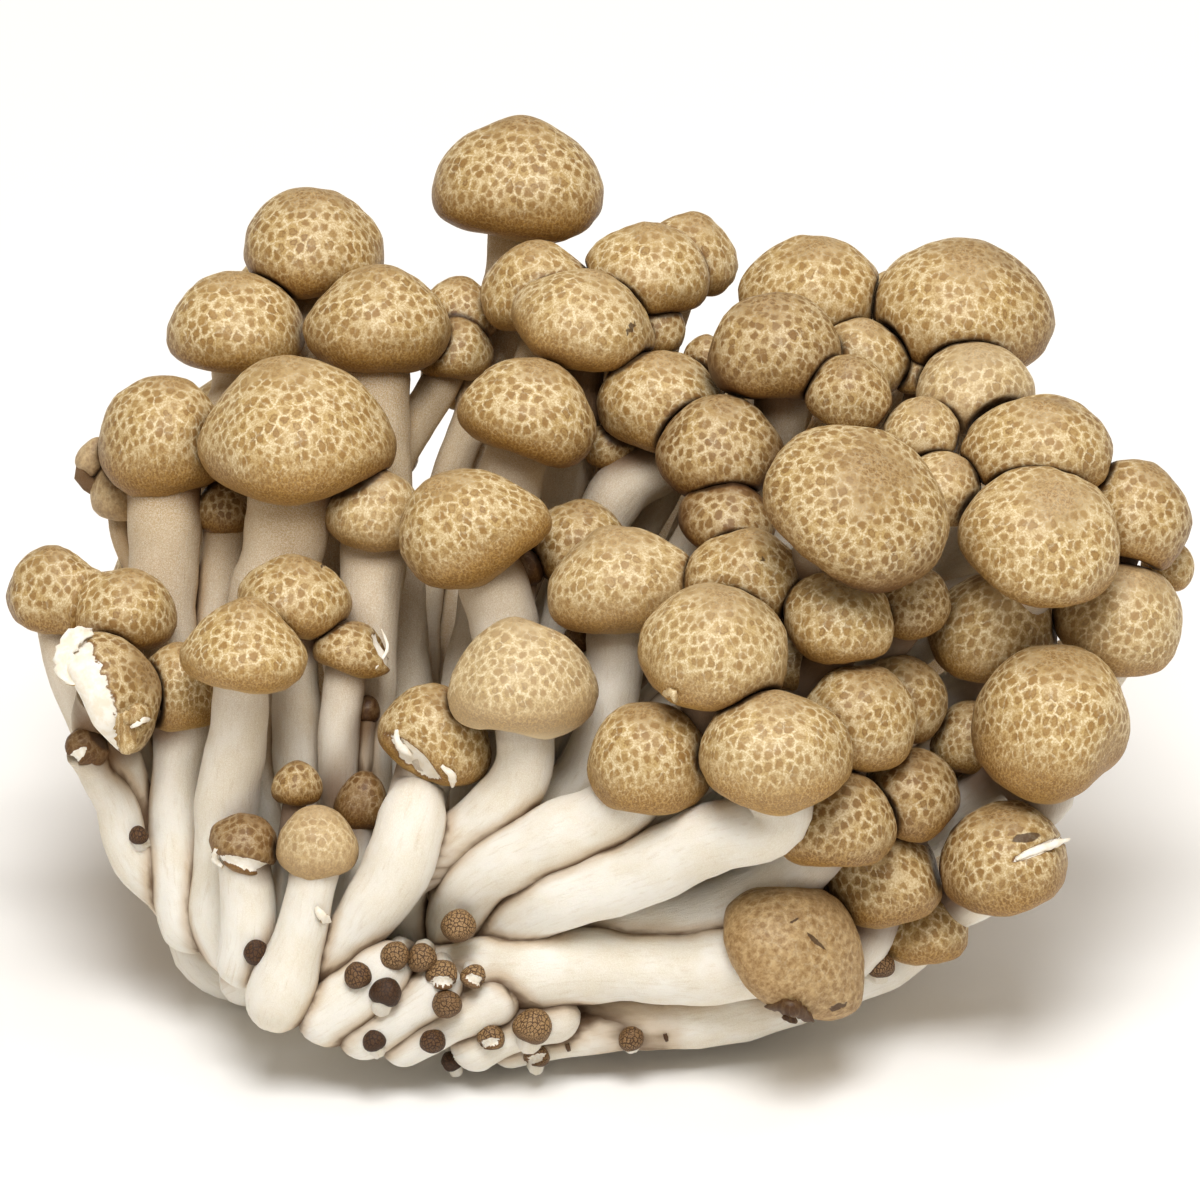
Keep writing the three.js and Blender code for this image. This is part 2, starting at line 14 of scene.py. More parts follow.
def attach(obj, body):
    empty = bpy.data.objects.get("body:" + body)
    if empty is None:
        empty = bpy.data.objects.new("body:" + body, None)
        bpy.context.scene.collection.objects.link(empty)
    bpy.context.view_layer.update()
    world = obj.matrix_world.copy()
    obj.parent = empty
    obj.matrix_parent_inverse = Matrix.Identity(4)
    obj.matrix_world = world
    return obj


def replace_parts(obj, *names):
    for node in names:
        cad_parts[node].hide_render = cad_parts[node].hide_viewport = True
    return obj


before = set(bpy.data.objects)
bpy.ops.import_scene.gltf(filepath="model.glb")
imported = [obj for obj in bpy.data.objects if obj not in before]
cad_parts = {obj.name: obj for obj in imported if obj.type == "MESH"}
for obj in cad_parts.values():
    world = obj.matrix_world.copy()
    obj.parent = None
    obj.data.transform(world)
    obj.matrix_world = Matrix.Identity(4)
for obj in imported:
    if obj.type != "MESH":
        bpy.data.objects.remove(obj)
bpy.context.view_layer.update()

MM = 0.001

# ---- driving dimensions, as in the solids -------------------------------------------------

SIDE_LEAN = math.radians(28)          # how far the showing side leans back
FOOT_AT = (46.0, 22.0)                # centre of the cut foot, along and behind the showing side
FOOT_SIZE = (44.0, 38.0, 21.0)        # width, depth and height of the egg that the foot is cut from
FOOT_SINK = 3.0                       # height of its widest ring over the cut
HUB = np.array([44.0, 9.0, -13.0])    # where the stems gather inside the foot
ROOT_SPREAD = np.array([0.24, 0.12, 0.3])   # how far from the hub a root stays, of its last point
CROWN_SHARE = 0.65                    # share of a cap's height above its widest ring
STEM_PER_CAP = 0.19                   # radius of a far-side stem for each width of its cap
STEM_SWELL = 0.18                     # how much thicker a stem is at its root
CROWN_POWER = 1.8                     # how full a cap is above its widest ring; 2 is an ellipse

TOP_INSIDE = 0.2                      # how deep a stem starts in its cap, for each skirt height
NECK_DROP = 0.35                      # how far under the skirt the neck is, for each cap radius
NECK_CLEAR = 5.0                      # mm; a nearer way point takes the place of the neck's
SMALL_CAP = 9.0                       # mm; a narrower cap has finer spots,
SMALL_FINENESS = 1.25                 # by this much

# Stems whose rounded base shows at the edge of the foot.
SHOWN_BASES = {"cap_bo", "cap_bp", "young_10"}

# Every row: u, v, near, cap width, height for each width, lean to the right, nod outwards, stem
# radius, points that the stem passes (with its radius there, where it isn't left to the swell), and
# the tone of the skin from pale -1 to dark 1. Lengths are in mm on the showing side: u to the
# right, v up, near outwards.
CAPS = {
    # top left
    "cap_a": (51.8, 89.6, -28, 17.9, 0.64, 0, 15, 3.2, [(51.4, 76, -28), (48, 56, -24), (45, 34, -17)], 0.2),
    "cap_b": (31.3, 82.9, -25, 14.6, 0.66, 6, 22, 2.8, [(31, 70, -24), (34, 48, -20)], 0.15),
    "cap_c": (23.6, 74.8, -19, 14.0, 0.66, 0, 20, 2.7, [(22, 62, -19), (24, 42, -17)], 0.0),
    "cap_d": (37.5, 75.3, -15, 14.6, 0.70, 0, 14, 3.1, [(37.7, 64, -14), (39, 48, -12), (41, 28, -10)], 0.1),
    "cap_e": (29.6, 64.2, -3, 19.4, 0.66, -3, 18, 4.0, [(28.6, 53, -4), (26.8, 44, -5), (28, 26, -6)], 0.0),
    "cap_f": (16.3, 63.6, -11, 13.3, 0.86, 0, 16, 3.4,
              [(16.4, 52, -10), (16.2, 40, -10), (20, 23, -11)], 0.1),
    # top middle
    "cap_i": (53.7, 78.3, -17, 11.4, 0.72, -8, 25, 2.4, [(53, 68, -18), (51, 48, -16)], 0.0),
    "cap_j": (58.8, 75.2, -9, 14.9, 0.62, 18, 15, 2.5,
              [(57.6, 66, -11), (55, 50, -13), (49, 30, -12)], -0.05),
    "cap_k": (64.8, 80.2, -17, 12.6, 0.66, 5, 20, 2.4, [(63.5, 69, -18), (58, 48, -18)], 0.0),
    "cap_l": (69.2, 81.6, -24, 10.2, 0.72, 12, 20, 1.8,
              [(67.5, 76.4, -25, 1.8), (66.1, 72, -26, 1.8), (60, 50, -22)], 0.1),
    "cap_ac": (53.0, 66.0, -3, 13.8, 0.68, 12, 18, 3.1, [(50.6, 57, -6), (48.6, 44, -7), (46, 28, -7)], 0.1),
    "cap_ad": (66.3, 67.0, -7, 13.0, 0.70, -3, 22, 2.7, [(62, 57.6, -8), (56, 45, -9), (49, 28, -9)], 0.0),
    "cap_ae": (72.0, 62.4, 0, 12.9, 0.74, 3, 25, 2.6, [(69, 51, -6), (60, 36, -8)], 0.35),
    # top right
    "cap_m": (81.2, 78.3, -15, 14.0, 0.64, 3, 25, 2.6, [(78, 67, -17), (66, 46, -17)], 0.0),
    "cap_n": (96.5, 76.5, -14, 18.0, 0.62, 8, 28, 3.2, [(90, 63, -18), (74, 42, -18)], 0.0),
    "cap_o": (77.4, 72.5, -3, 13.7, 0.74, -6, 22, 2.8, [(76, 61, -9), (66, 43, -12)], 0.42),
    "cap_p": (86.7, 71.4, -9, 9.0, 0.72, 10, 30, 2.0, [(83, 61, -13), (70, 42, -14)], -0.1),
    "cap_q": (84.9, 67.7, 1, 8.8, 0.75, 5, 35, 1.9, [(81, 57, -7), (68, 38, -10)], 0.3),
    "cap_r": (97.4, 68.2, -5, 12.2, 0.62, 5, 28, 2.4, [(91, 57, -12), (74, 38, -14)], -0.25),
    "cap_t": (92.3, 64.0, 2, 8.3, 0.66, 10, 30, 1.8, [(87, 54, -8), (71, 35, -11)], -0.1),
    "cap_u": (94.3, 58.0, 6, 8.6, 0.72, 25, 35, 1.9, [(86, 49, -3), (70, 32, -8)], -0.1),
    "cap_v": (103.7, 62.6, 3, 15.2, 0.60, 4, 24, 2.8, [(96, 51, -8), (78, 34, -11)], -0.05),
    # right
    "cap_w": (103.8, 53.0, 11, 16.5, 0.62, 12, 44, 2.9, [(94, 45, -4), (76, 29, -8)], -0.05),
    "cap_x": (113.6, 55.6, 1, 11.4, 0.82, 20, 22, 1.8, [(104, 44, -9), (82, 29, -12)], 0.2),
    "cap_y": (112.1, 45.4, 2, 13.2, 0.80, 20, 33, 2.6, [(101, 36, -7), (80, 24, -10)], -0.15),
    "cap_z": (105.2, 34.9, 10, 15.6, 0.88, 6, 25, 2.5, [(101.2, 29.6, 4), (95, 25, -2), (82, 18, -5)], 0.0),
    "cap_aa": (99.3, 44.3, 1, 13.2, 0.72, 12, 32, 2.6, [(91, 35, -6), (74, 24, -8)], -0.05),
    "cap_ab": (85.5, 56.2, 18, 18.9, 0.62, 30, 46, 3.2, [(77, 43, 3), (63, 30, -2)], 0.2),
    "cap_ak": (90.8, 47.0, 8, 8.6, 0.75, 15, 35, 1.9, [(83, 38, -2), (68, 25, -6)], 0.4),
    "cap_am": (90.2, 37.2, 5, 9.6, 0.78, 20, 30, 2.0, [(83, 28, -3), (67, 18, -5)], 0.2),
    # middle
    "cap_af": (72.8, 55.2, 4, 9.8, 0.66, 5, 24, 2.1, [(69, 46, -6), (58, 32, -8)], 0.45),
    "cap_ag": (74.6, 49.6, 11, 12.1, 0.68, 3, 27, 2.4, [(69, 39, 0), (58, 27, -4)], 0.05),
    "cap_ah": (71.4, 42.4, 19, 15.3, 0.74, 6, 25, 2.8, [(65, 32, 7), (54, 22, 1)], -0.1),
    "cap_aj": (83.9, 45.3, 14, 11.2, 0.68, 12, 32, 2.3, [(76, 35, 3), (62, 23, -3)], 0.0),
    "cap_ay": (57.8, 52.7, -2, 10.6, 0.72, 0, 20, 2.3, [(56, 43, -3), (50, 28, -5)], 0.25),
    "cap_az": (61.7, 49.2, 8, 14.1, 0.68, -10, 18, 2.8, [(61.4, 40, 6), (59, 30, 5), (51, 20, 3)], -0.1),
    "cap_aw": (46.7, 54.7, 5, 14.6, 0.74, -22, 15, 3.2, [(50.5, 44, 3), (49.5, 32, 0)], 0.05),
    "cap_ax": (37.4, 56.0, -2, 9.5, 0.80, 0, 25, 3.1, [(36.8, 45, -2), (36, 34, -1), (37, 20, -1)], -0.1),
    # lower right
    "cap_al": (86.2, 35.5, 13, 11.7, 0.82, 18, 30, 2.3, [(79, 26, 5), (64, 16, 0)], 0.15),
    "cap_an": (77.5, 32.3, 22, 15.4, 0.70, 0, 20, 3.2,
               [(71.2, 23, 17.4, 3.7), (64, 19.7, 14, 3.6), (55, 16.6, 10.6, 3.4)], -0.1),
    "cap_ao": (65.0, 31.2, 17, 12.0, 0.86, 4, 22, 3.1,
               [(60.6, 25, 13.6, 3.6), (55, 22.6, 12, 3.6), (48, 19, 9, 3.3)], 0.1),
    "cap_ap": (83.5, 25.3, 14, 12.6, 0.70, 8, 25, 2.8,
               [(79, 19.6, 9, 3.2), (71, 15.6, 7, 3.3), (60, 13.4, 5, 3.2)], 0.4),
    "cap_aq": (90.9, 27.8, 8, 10.7, 0.76, 5, 25, 2.2, [(86, 19, -4), (72, 12, -3)], 0.5),
    "cap_as": (100.2, 21.6, 8, 13.4, 0.74, -10, 28, 2.4,
               [(97.8, 17.6, 3.2), (91, 14, -5, 2.6), (80, 10, -7, 2.8)], 0.25),
    "cap_at": (88.5, 19.9, 6, 11.8, 0.84, 0, 28, 2.3, [(85.6, 11.4, 4), (74, 8, 2)], 0.3),
    "cap_au": (92.1, 14.5, 0, 9.8, 0.72, 5, 20, 2.3,
               [(89.4, 11, -2.4, 2.6), (82, 8.0, 0.6, 2.9), (72, 5.4, 2.4, 3.1), (60, 4.8, 3, 3.0)], 0.2),
    "cap_av": (79.8, 12.6, 10, 15.6, 0.70, 48, 20, 3.5,
               [(70, 10.1, 8, 3.7), (60, 10.3, 7.6, 3.9), (52, 9.6, 7, 4.0), (46, 9, 4, 3.8)], 0.2),
    # lower left
    "cap_ba": (52.2, 39.4, 13, 15.0, 0.72, 0, 16, 2.8,
               [(52.4, 30, 11, 3.0), (50, 26, 10, 3.1), (45.6, 22.4, 8, 3.0), (40, 18.6, 5, 2.8)], -0.3),
    "cap_bb": (43.8, 33.4, 8, 11.4, 0.78, 18, 20, 2.9,
               [(41.2, 24.5, 11, 3.4), (39.6, 19.6, 11, 3.4), (36.8, 15.4, 10, 3.1), (32.4, 9, 6, 2.4)], 0.1),
    "cap_bc": (29.5, 47.3, 4, 11.0, 0.66, 4, 18, 2.3, [(29.6, 38, 1), (31, 25, -1)], 0.1),
    "cap_bd": (24.4, 42.3, 11, 12.6, 0.66, 2, 15, 2.8,
               [(23.9, 33.4, 6, 2.9), (22.8, 27, 4, 3.1), (22.4, 21, 2, 3.1), (22.4, 13, 0, 2.9)], 0.0),
    "cap_bf": (5.3, 48.0, -6, 9.4, 0.86, -8, 28, 2.0, [(6.6, 40, -7), (9.6, 33, -8), (17.6, 18, -9)], 0.2),
    "cap_bh": (11.7, 37.8, 4, 13.2, 0.62, 64, 20, 2.4,
               [(9.6, 34.2, 0.5), (11.8, 30, -2), (13.6, 25, -4), (18.4, 16, -6)], 0.4),
    "cap_bo": (31.9, 22.8, 11, 8.3, 0.82, 2, 15, 2.2,
               [(31.0, 17, 11, 2.5), (30, 13, 10.6, 2.6), (28.6, 8.8, 10, 3.2), (26.9, 3.8, 8.6, 3.6)], -0.2),
    "cap_bp": (24.7, 22.7, 9, 7.2, 0.72, 24, 20, 2.2,
               [(24.8, 17.6, 8, 2.8), (24.9, 14, 8, 2.8), (24.4, 10.8, 7, 2.7), (23.8, 9.2, 5, 2.5)], 0.7),
}

# Young and half-hidden mushrooms.
YOUNG = [
    (45.8, 76.0, -22, 8.2, 0.74, 8, 20, 1.8,
     [(47.4, 66.5, -20), (45.2, 60, -20), (43, 52, -19), (42, 42, -16)], 0.1),
    (45.4, 72.2, -19, 8.0, 0.74, 5, 20, 1.9,
     [(43.5, 67.6, -19), (39.5, 61, -18), (37.8, 54, -17), (40, 42, -14)], 0.1),
    (65.6, 74.2, -15, 6.0, 0.80, 10, 25, 1.4, [(62, 63, -17), (55, 44, -15)], 0.2),
    (71.0, 71.0, -12, 5.6, 0.80, -5, 20, 1.3, [(68, 60, -14), (58, 42, -14)], 0.4),
    (61.0, 62.4, -9, 5.4, 0.80, 0, 20, 1.3, [(57, 51, -12), (51, 36, -11)], 0.3),
    (91.6, 69.4, -10, 4.8, 0.75, 0, 20, 1.2, [(86, 58, -15), (71, 41, -15)], 0.1),
    (117.0, 50.4, -5, 5.4, 0.80, 25, 20, 1.3, [(106, 41, -11), (85, 28, -12)], 0.0),
    (79.2, 41.0, 8, 6.8, 0.80, 5, 25, 1.6, [(73, 32, 1), (61, 22, -3)], 0.3),
    (97.1, 33.3, 1, 8.6, 0.80, 0, 25, 1.8, [(89, 24, -4), (72, 16, -6)], 0.2),
    (18.2, 38.2, 0, 8.6, 0.98, 0, 20, 2.8,
     [(17.5, 27, -2, 2.6), (17.9, 21, -2, 3.1), (18.8, 15.4, -2, 3.3), (20.4, 11.8, -1, 3.1)], 0.0),
    (12.9, 46.2, -3, 10.2, 0.72, 10, 24, 1.9, [(12.2, 38, -6), (14.4, 28, -8), (18, 17, -9)], 0.1),
    (12.0, 57.8, -15, 6.2, 0.90, 0, 20, 1.3, [(14, 48, -15), (15.2, 34, -14), (19, 20, -13)], -0.2),
    (22.6, 56.2, -11, 6.2, 0.84, 0, 15, 2.3, [(21.8, 47, -11), (22, 34, -11), (25, 20, -11)], 0.6),
    (9.3, 61.3, -15, 3.2, 1.20, 25, 15, 1.0, [(12.2, 56, -16), (15, 36, -15)], -0.3),
    (35.1, 42.1, 5, 7.4, 0.62, 10, 15, 1.9, [(34, 34, 4), (34.4, 24, 2)], 0.3),
    (52.3, 50.1, 0, 4.2, 0.90, 0, 10, 1.3, [(52, 40, -1), (49, 28, -4)], 0.9),
    (58.0, 43.2, 2, 3.4, 0.90, 0, 10, 1.2, [(56, 34, 1), (50, 24, -2)], 0.9),
    (29.7, 28.5, 7, 5.1, 0.82, 0, 15, 1.1, [(28.9, 22, 6), (28.4, 15, 4)], 0.5),
    (36.3, 26.8, 5, 5.2, 1.10, 20, 15, 1.5, [(35.4, 20, 5), (35, 13, 3)], 0.8),
    (8.9, 32.3, 2, 4.4, 0.84, 25, 15, 1.7,
     [(9.9, 29.4, -0.4, 1.9), (11.6, 26.4, -1, 2.2), (13, 21.8, -2, 2.5), (17.2, 17.6, -4, 2.5)], 0.9),
    (36.8, 35.9, 3, 2.6, 1.00, 10, 15, 0.9, [(36.4, 30, 2), (37, 22, 0)], 1.2),
]

# Mushrooms of the far side: u, v, near, cap width. Their other measures follow from these.
FAR_HEIGHT = 0.68                     # height for each width
FAR_WAY = (0.35, 0.42, 0.22)          # how far towards the hub the stem's way point lies
FAR_LEAN = 0.45                       # degrees of lean for each mm from the hub
FAR_NOD = 28                          # degrees of nod level with the hub
FAR_TONE, FAR_TONE_TURN = 0.05, 1.7   # how much the tone swings, and how fast along the side
FAR_SIDE = [
    (29, 78, -36, 14), (49, 71, -34, 14), (62, 76, -36, 13), (82, 75, -33, 13), (91, 75, -31, 14),
    (99, 64, -23, 12),
    (24, 65, -37, 14), (35, 63, -45, 14), (56, 66, -46, 15), (72, 66, -44, 15), (88, 63, -40, 15),
    (17, 51, -31, 13), (32, 52, -48, 15), (48, 52, -55, 15), (65, 53, -56, 16), (82, 50, -51, 15),
    (99, 48, -33, 14),
    (25, 38, -41, 13), (42, 39, -53, 14), (60, 39, -57, 15), (78, 37, -52, 15), (94, 32, -36, 14),
]

# Stems that lie low round the foot: radius, points from tip to root. The first SHOWN_ENDS of them
# end in a rounded base at the edge of the foot.
SHOWN_ENDS = 5
LOW_STEMS = [
    (2.6, [(58, 5.4, 6.6), (52.4, 4.4, 6.8), (45.4, 1.2, 5.6)]),
    (2.5, [(52, 7.6, 8.6), (45.8, 5.2, 8.6), (38.4, 1.4, 6.6)]),
    (2.7, [(46, 9.4, 9.6), (40.8, 6, 9.6), (34.2, 2.2, 7.6)]),
    (3.2, [(40.6, 12, 10), (36, 7.4, 9.6), (30.4, 3.6, 7.4)]),
    (2.3, [(68, 4.5, 3.4), (60, 3.8, 4), (49, 1.8, 3.6)]),
    (2.6, [(27, 10, 2), (24.5, 8.8, -3), (31, 10, -9)]),
    (2.5, [(19.6, 16.8, -8), (19.8, 11.4, -9), (23.8, 9, -10), (31, 10, -12)]),
    (2.5, [(90, 12, -10), (78, 8, -9), (64, 6, -8), (52, 8, -8)]),
    (2.6, [(96, 22, -20), (82, 16, -20), (66, 12, -18), (54, 12, -16)]),
]

# Pin-sized buttons round the foot: u, v, near, radius, tone.
PINS = [
    (45.9, 14.4, 11, 1.8, 0.1), (39.5, 11.4, 12.4, 1.5, 0.35), (42.2, 11.1, 12, 1.5, 0.4),
    (35.8, 9.4, 13, 1.4, 0.8), (44.3, 9.5, 12.2, 1.6, 0.15), (47.4, 9.3, 12, 1.3, 0.0),
    (38.7, 7.8, 12.7, 1.6, 1.3), (44.7, 6.5, 12.2, 1.5, 0.6), (49.1, 3.2, 9.3, 1.4, 0.3),
    (53.3, 4.4, 9.6, 1.9, 0.1), (53.7, 1.4, 6.0, 1.3, 0.5), (43.3, 2.8, 10.4, 1.3, 0.9),
    (45.2, 0.8, 4.4, 1.1, 1.3), (37.4, 2.9, 11.0, 1.2, 1.1), (63.1, 3.0, 6.2, 1.3, 0.6),
    (88.0, 10.4, 3.6, 1.4, 0.6), (25.8, 11.6, 10.4, 1.3, 1.0), (13.9, 23.3, 0.6, 1.0, 0.9),
]

# Seeds of the random draws. Each kind of piece counts up from its own.
FOOT_SEED, POWER_SEED, CAP_SEED, YOUNG_SEED, FAR_SEED = 41, 59, 100, 300, 400
PIN_SEED, PIN_CAP_SEED, SCRAP_SEED = 500, 600, 960
STEM_SEED, YOUNG_STEM_SEED, FAR_STEM_SEED, PIN_STEM_SEED, LOW_STEM_SEED = 700, 780, 820, 860, 900

# ---- places -------------------------------------------------------------------------------

LEAN_SIN, LEAN_COS = math.sin(SIDE_LEAN), math.cos(SIDE_LEAN)
SIDE_AXES = np.array([[1, 0, 0], [0, LEAN_SIN, LEAN_COS], [0, -LEAN_COS, LEAN_SIN]])


def place(spot):
    """A spot on the showing side, (u, v, near) in mm, as a place in the clump's frame, in mm."""
    u, v, near = spot
    return np.array([
        u - FOOT_AT[0],
        v * LEAN_SIN - near * LEAN_COS - FOOT_AT[1],
        v * LEAN_COS + near * LEAN_SIN,
    ])


def side_place(points):
    """Where points in mm lie on the showing side, as u and v."""
    return points[:, 0] + FOOT_AT[0], (points[:, 1] + FOOT_AT[1]) * LEAN_SIN + points[:, 2] * LEAN_COS


def pointing(lean, nod):
    """The way a cap points: lean to the right on the showing side, nod out of it, in degrees."""
    lean, nod = math.radians(lean), math.radians(nod)
    side = np.array([math.sin(lean) * math.cos(nod), math.cos(lean) * math.cos(nod), math.sin(nod)])
    return side @ SIDE_AXES


class Mushroom:
    """One mushroom's measures, worked out from its row."""

    def __init__(self, name, row):
        u, v, near, width, ratio, lean, nod, self.stem_radius, self.ways, self.tone = row
        self.name = name
        self.power = CROWN_POWER
        self.fineness = SMALL_FINENESS if width < SMALL_CAP else 1.0
        self.radius = width / 2
        self.crown = width * ratio * CROWN_SHARE
        self.skirt = width * ratio * (1 - CROWN_SHARE)
        self.axis = pointing(lean, nod)
        cos_nod, sin_nod = math.cos(math.radians(nod)), math.sin(math.radians(nod))
        drop = (math.hypot(self.crown * cos_nod, self.radius * sin_nod)
                - math.hypot(self.skirt * cos_nod, self.radius * sin_nod)) / 2
        lean = math.radians(lean)
        self.centre = place((u - drop * math.sin(lean), v - drop * math.cos(lean), near))
        turn = Vector((0, 0, 1)).rotation_difference(Vector(self.axis)).to_matrix()
        self.turn = np.array(turn)

    def local(self, points):
        """Points of the clump's frame in the cap's own, whose Z is its axis."""
        return (points - self.centre) @ self.turn

    def stem_route(self):
        """The stem's points in mm with its radius at each, from inside the cap into the foot."""
        top = self.centre - self.axis * self.skirt * TOP_INSIDE
        neck = self.centre - self.axis * (self.skirt + self.radius * NECK_DROP)
        route = [(top, self.stem_radius)]
        if np.linalg.norm(neck - place(self.ways[0][:3])) > NECK_CLEAR:
            route.append((neck, self.stem_radius))
        for i, way in enumerate(self.ways):
            fuller = self.stem_radius * (1 + STEM_SWELL * (i + 1) / (len(self.ways) + 1))
            route.append((place(way[:3]), way[3] if len(way) > 3 else fuller))
        last = np.array(self.ways[-1][:3], float)
        if self.name in SHOWN_BASES:
            return route
        root = place(HUB + (last - HUB) * ROOT_SPREAD)
        return route + [(root, route[-1][1])]


def far_row(spot):
    """A far-side cap points up and away from the foot."""
    u, v, near, width = spot
    way = tuple(at + (hub - at) * share for at, hub, share in zip((u, v, near), HUB, FAR_WAY))
    return (u, v, near, width, FAR_HEIGHT, (u - HUB[0]) * FAR_LEAN, FAR_NOD + near - HUB[2],
            width * STEM_PER_CAP, [way], FAR_TONE * math.sin(u * FAR_TONE_TURN + v))


showing = [Mushroom(name, row) for name, row in CAPS.items()]
young = [Mushroom(f"young_{i + 1}", row) for i, row in enumerate(YOUNG)]
far_side = [Mushroom(f"far_{i + 1}", far_row(spot)) for i, spot in enumerate(FAR_SIDE)]

# ---- colours ------------------------------------------------------------------------------


def linear(red, green, blue):
    """An sRGB colour from 0 to 255 as a linear one."""
    def channel(value):
        value /= 255
        return value / 12.92 if value <= 0.04045 else ((value + 0.055) / 1.055) ** 2.4
    return (channel(red), channel(green), channel(blue), 1.0)


# the skin of caps
SKIN_STRAW = linear(200, 171, 114)
SKIN_TAN = linear(172, 139, 84)
# colours below the widest ring: partly the margin's own, partly painted shade
RIM_GOLD = linear(178, 136, 66)
RIM_BROWN = linear(128, 90, 38)
NET_CREAM = linear(241, 227, 190)
NET_SAND = linear(211, 185, 138)
SPOT_BROWN = linear(147, 106, 50)
SPOT_EDGE = linear(120, 84, 42)
LIP_TAN = linear(196, 164, 104)
MOTTLE_BROWN = linear(122, 88, 48)
MOTTLE_TAN = linear(190, 158, 108)
WRINKLE_TAN = linear(198, 168, 122)
WRINKLE_BROWN = linear(146, 112, 70)
SCALE_TAN = linear(184, 152, 108)
SCALE_BROWN = linear(136, 102, 62)
CRACK_BROWN = linear(74, 48, 26)
SHADE_BROWN = linear(150, 124, 100)
DARKEST_BROWN = linear(48, 30, 16)
PALEST_TAN = linear(236, 222, 190)
# where caps press together: bruise brown with painted shade, and painted shadow in the crevice
PRESSED_BROWN_AND_PAINTED_SHADE = linear(104, 68, 32)
CREVICE_PAINTED_SHADOW = linear(44, 26, 12)
MARK_BROWN = linear(66, 42, 24)
CURL_BROWN = linear(118, 80, 42)
TORN_WHITE = linear(252, 248, 238)
TORN_CREAM = linear(240, 230, 210)
# gills
GILL_CREAM = linear(238, 226, 202)
GILL_SAND = linear(214, 194, 158)
GILL_GAP = linear(170, 140, 98)
# stems
STEM_WHITE = linear(248, 244, 235)
STEM_CREAM = linear(237, 228, 209)
STEM_TAN = linear(208, 182, 140)
STEM_BROWN = linear(188, 157, 110)
# the neck's colour, partly its own tan and partly painted shade under the cap
NECK_BROWN_AND_PAINTED_SHADE = linear(176, 146, 104)
STRAND_TAN = linear(200, 178, 142)
FUZZ_WHITE = linear(255, 251, 240)
# painted shade between stems that lie together, and where caps shut them in
CROWD_PAINTED_SHADE_TAN = linear(186, 150, 100)
CROWD_PAINTED_SHADE_BROWN = linear(88, 56, 28)
SHUT_IN_PAINTED_SHADE = linear(112, 78, 44)
# the foot
FOOT_WHITE = linear(242, 233, 215)
FOOT_SAND = linear(214, 196, 162)
SEAM_TAN = linear(168, 138, 96)
# the floor
PAPER_GREY = linear(250, 249, 247)
PAPER_WHITE = linear(252, 252, 251)

# ---- shader groups ------------------------------------------------------------------------


def new_group(name, inputs, outputs):
    """An empty shader group with its sockets, and its input and output nodes."""
    group = bpy.data.node_groups.new(name, "ShaderNodeTree")
    for label, kind, value in inputs:
        socket = group.interface.new_socket(label, in_out="INPUT", socket_type=kind)
        if value is not None:
            socket.default_value = value
    for label, kind in outputs:
        group.interface.new_socket(label, in_out="OUTPUT", socket_type=kind)
    return group, group.nodes.new("NodeGroupInput"), group.nodes.new("NodeGroupOutput")


MIX_INPUTS, MIX_OUTPUT = (0, 6, 7), 2     # sockets of a Mix node for colours


class Wires:
    """Adds nodes to a tree and joins them, one short call each."""

    def __init__(self, tree):
        self.tree = tree

    def set(self, socket, value):
        """Joins another node's socket to this one, or gives it a plain value."""
        if isinstance(value, bpy.types.NodeSocket):
            self.tree.links.new(value, socket)
        elif value is not None:
            socket.default_value = value

    def attribute(self, name):
        node = self.tree.nodes.new("ShaderNodeAttribute")
        node.attribute_name = name
        return node

    def fac(self, name):
        """A number that is stored at the mesh's points."""
        return self.attribute(name).outputs["Fac"]

    def spot(self, name):
        """A place or direction that is stored at the mesh's points."""
        return self.attribute(name).outputs["Vector"]

    def math(self, operation, a, b=None):
        node = self.tree.nodes.new("ShaderNodeMath")
        node.operation = operation
        for socket, value in zip(node.inputs, (a, b)):
            self.set(socket, value)
        return node.outputs[0]

    def times(self, a, b):
        return self.math("MULTIPLY", a, b)

    def plus(self, a, b):
        return self.math("ADD", a, b)

    def minus(self, a, b):
        return self.math("SUBTRACT", a, b)

    def vector(self, operation, a, b=None, scale=None):
        node = self.tree.nodes.new("ShaderNodeVectorMath")
        node.operation = operation
        self.set(node.inputs[0], a)
        if b is not None:
            self.set(node.inputs[1], b)
        if scale is not None:
            self.set(node.inputs["Scale"], scale)
        return node.outputs[0]

    def noise(self, vector, scale, detail=2.0, roughness=0.5, colour=False):
        node = self.tree.nodes.new("ShaderNodeTexNoise")
        self.set(node.inputs["Vector"], vector)
        self.set(node.inputs["Scale"], scale)
        self.set(node.inputs["Detail"], detail)
        self.set(node.inputs["Roughness"], roughness)
        return node.outputs["Color" if colour else "Fac"]

    def cells(self, vector, scale, feature="F1", randomness=1.0, dimensions="3D"):
        node = self.tree.nodes.new("ShaderNodeTexVoronoi")
        node.voronoi_dimensions = dimensions
        node.feature = feature
        self.set(node.inputs["Vector"], vector)
        self.set(node.inputs["Scale"], scale)
        self.set(node.inputs["Randomness"], randomness)
        return node

    def ramp(self, value, low, high, to_low=0.0, to_high=1.0, smooth=True):
        """Goes from `to_low` to `to_high` as the value goes from `low` to `high`."""
        node = self.tree.nodes.new("ShaderNodeMapRange")
        node.interpolation_type = "SMOOTHSTEP" if smooth else "LINEAR"
        for socket, number in zip(node.inputs, (value, low, high, to_low, to_high)):
            self.set(socket, number)
        return node.outputs[0]

    def mix(self, share, first, second, blend="MIX"):
        """The first colour with this share of the second over it."""
        node = self.tree.nodes.new("ShaderNodeMix")
        node.data_type = "RGBA"
        node.blend_type = blend
        for socket, value in zip(MIX_INPUTS, (share, first, second)):
            self.set(node.inputs[socket], value)
        return node.outputs[MIX_OUTPUT]


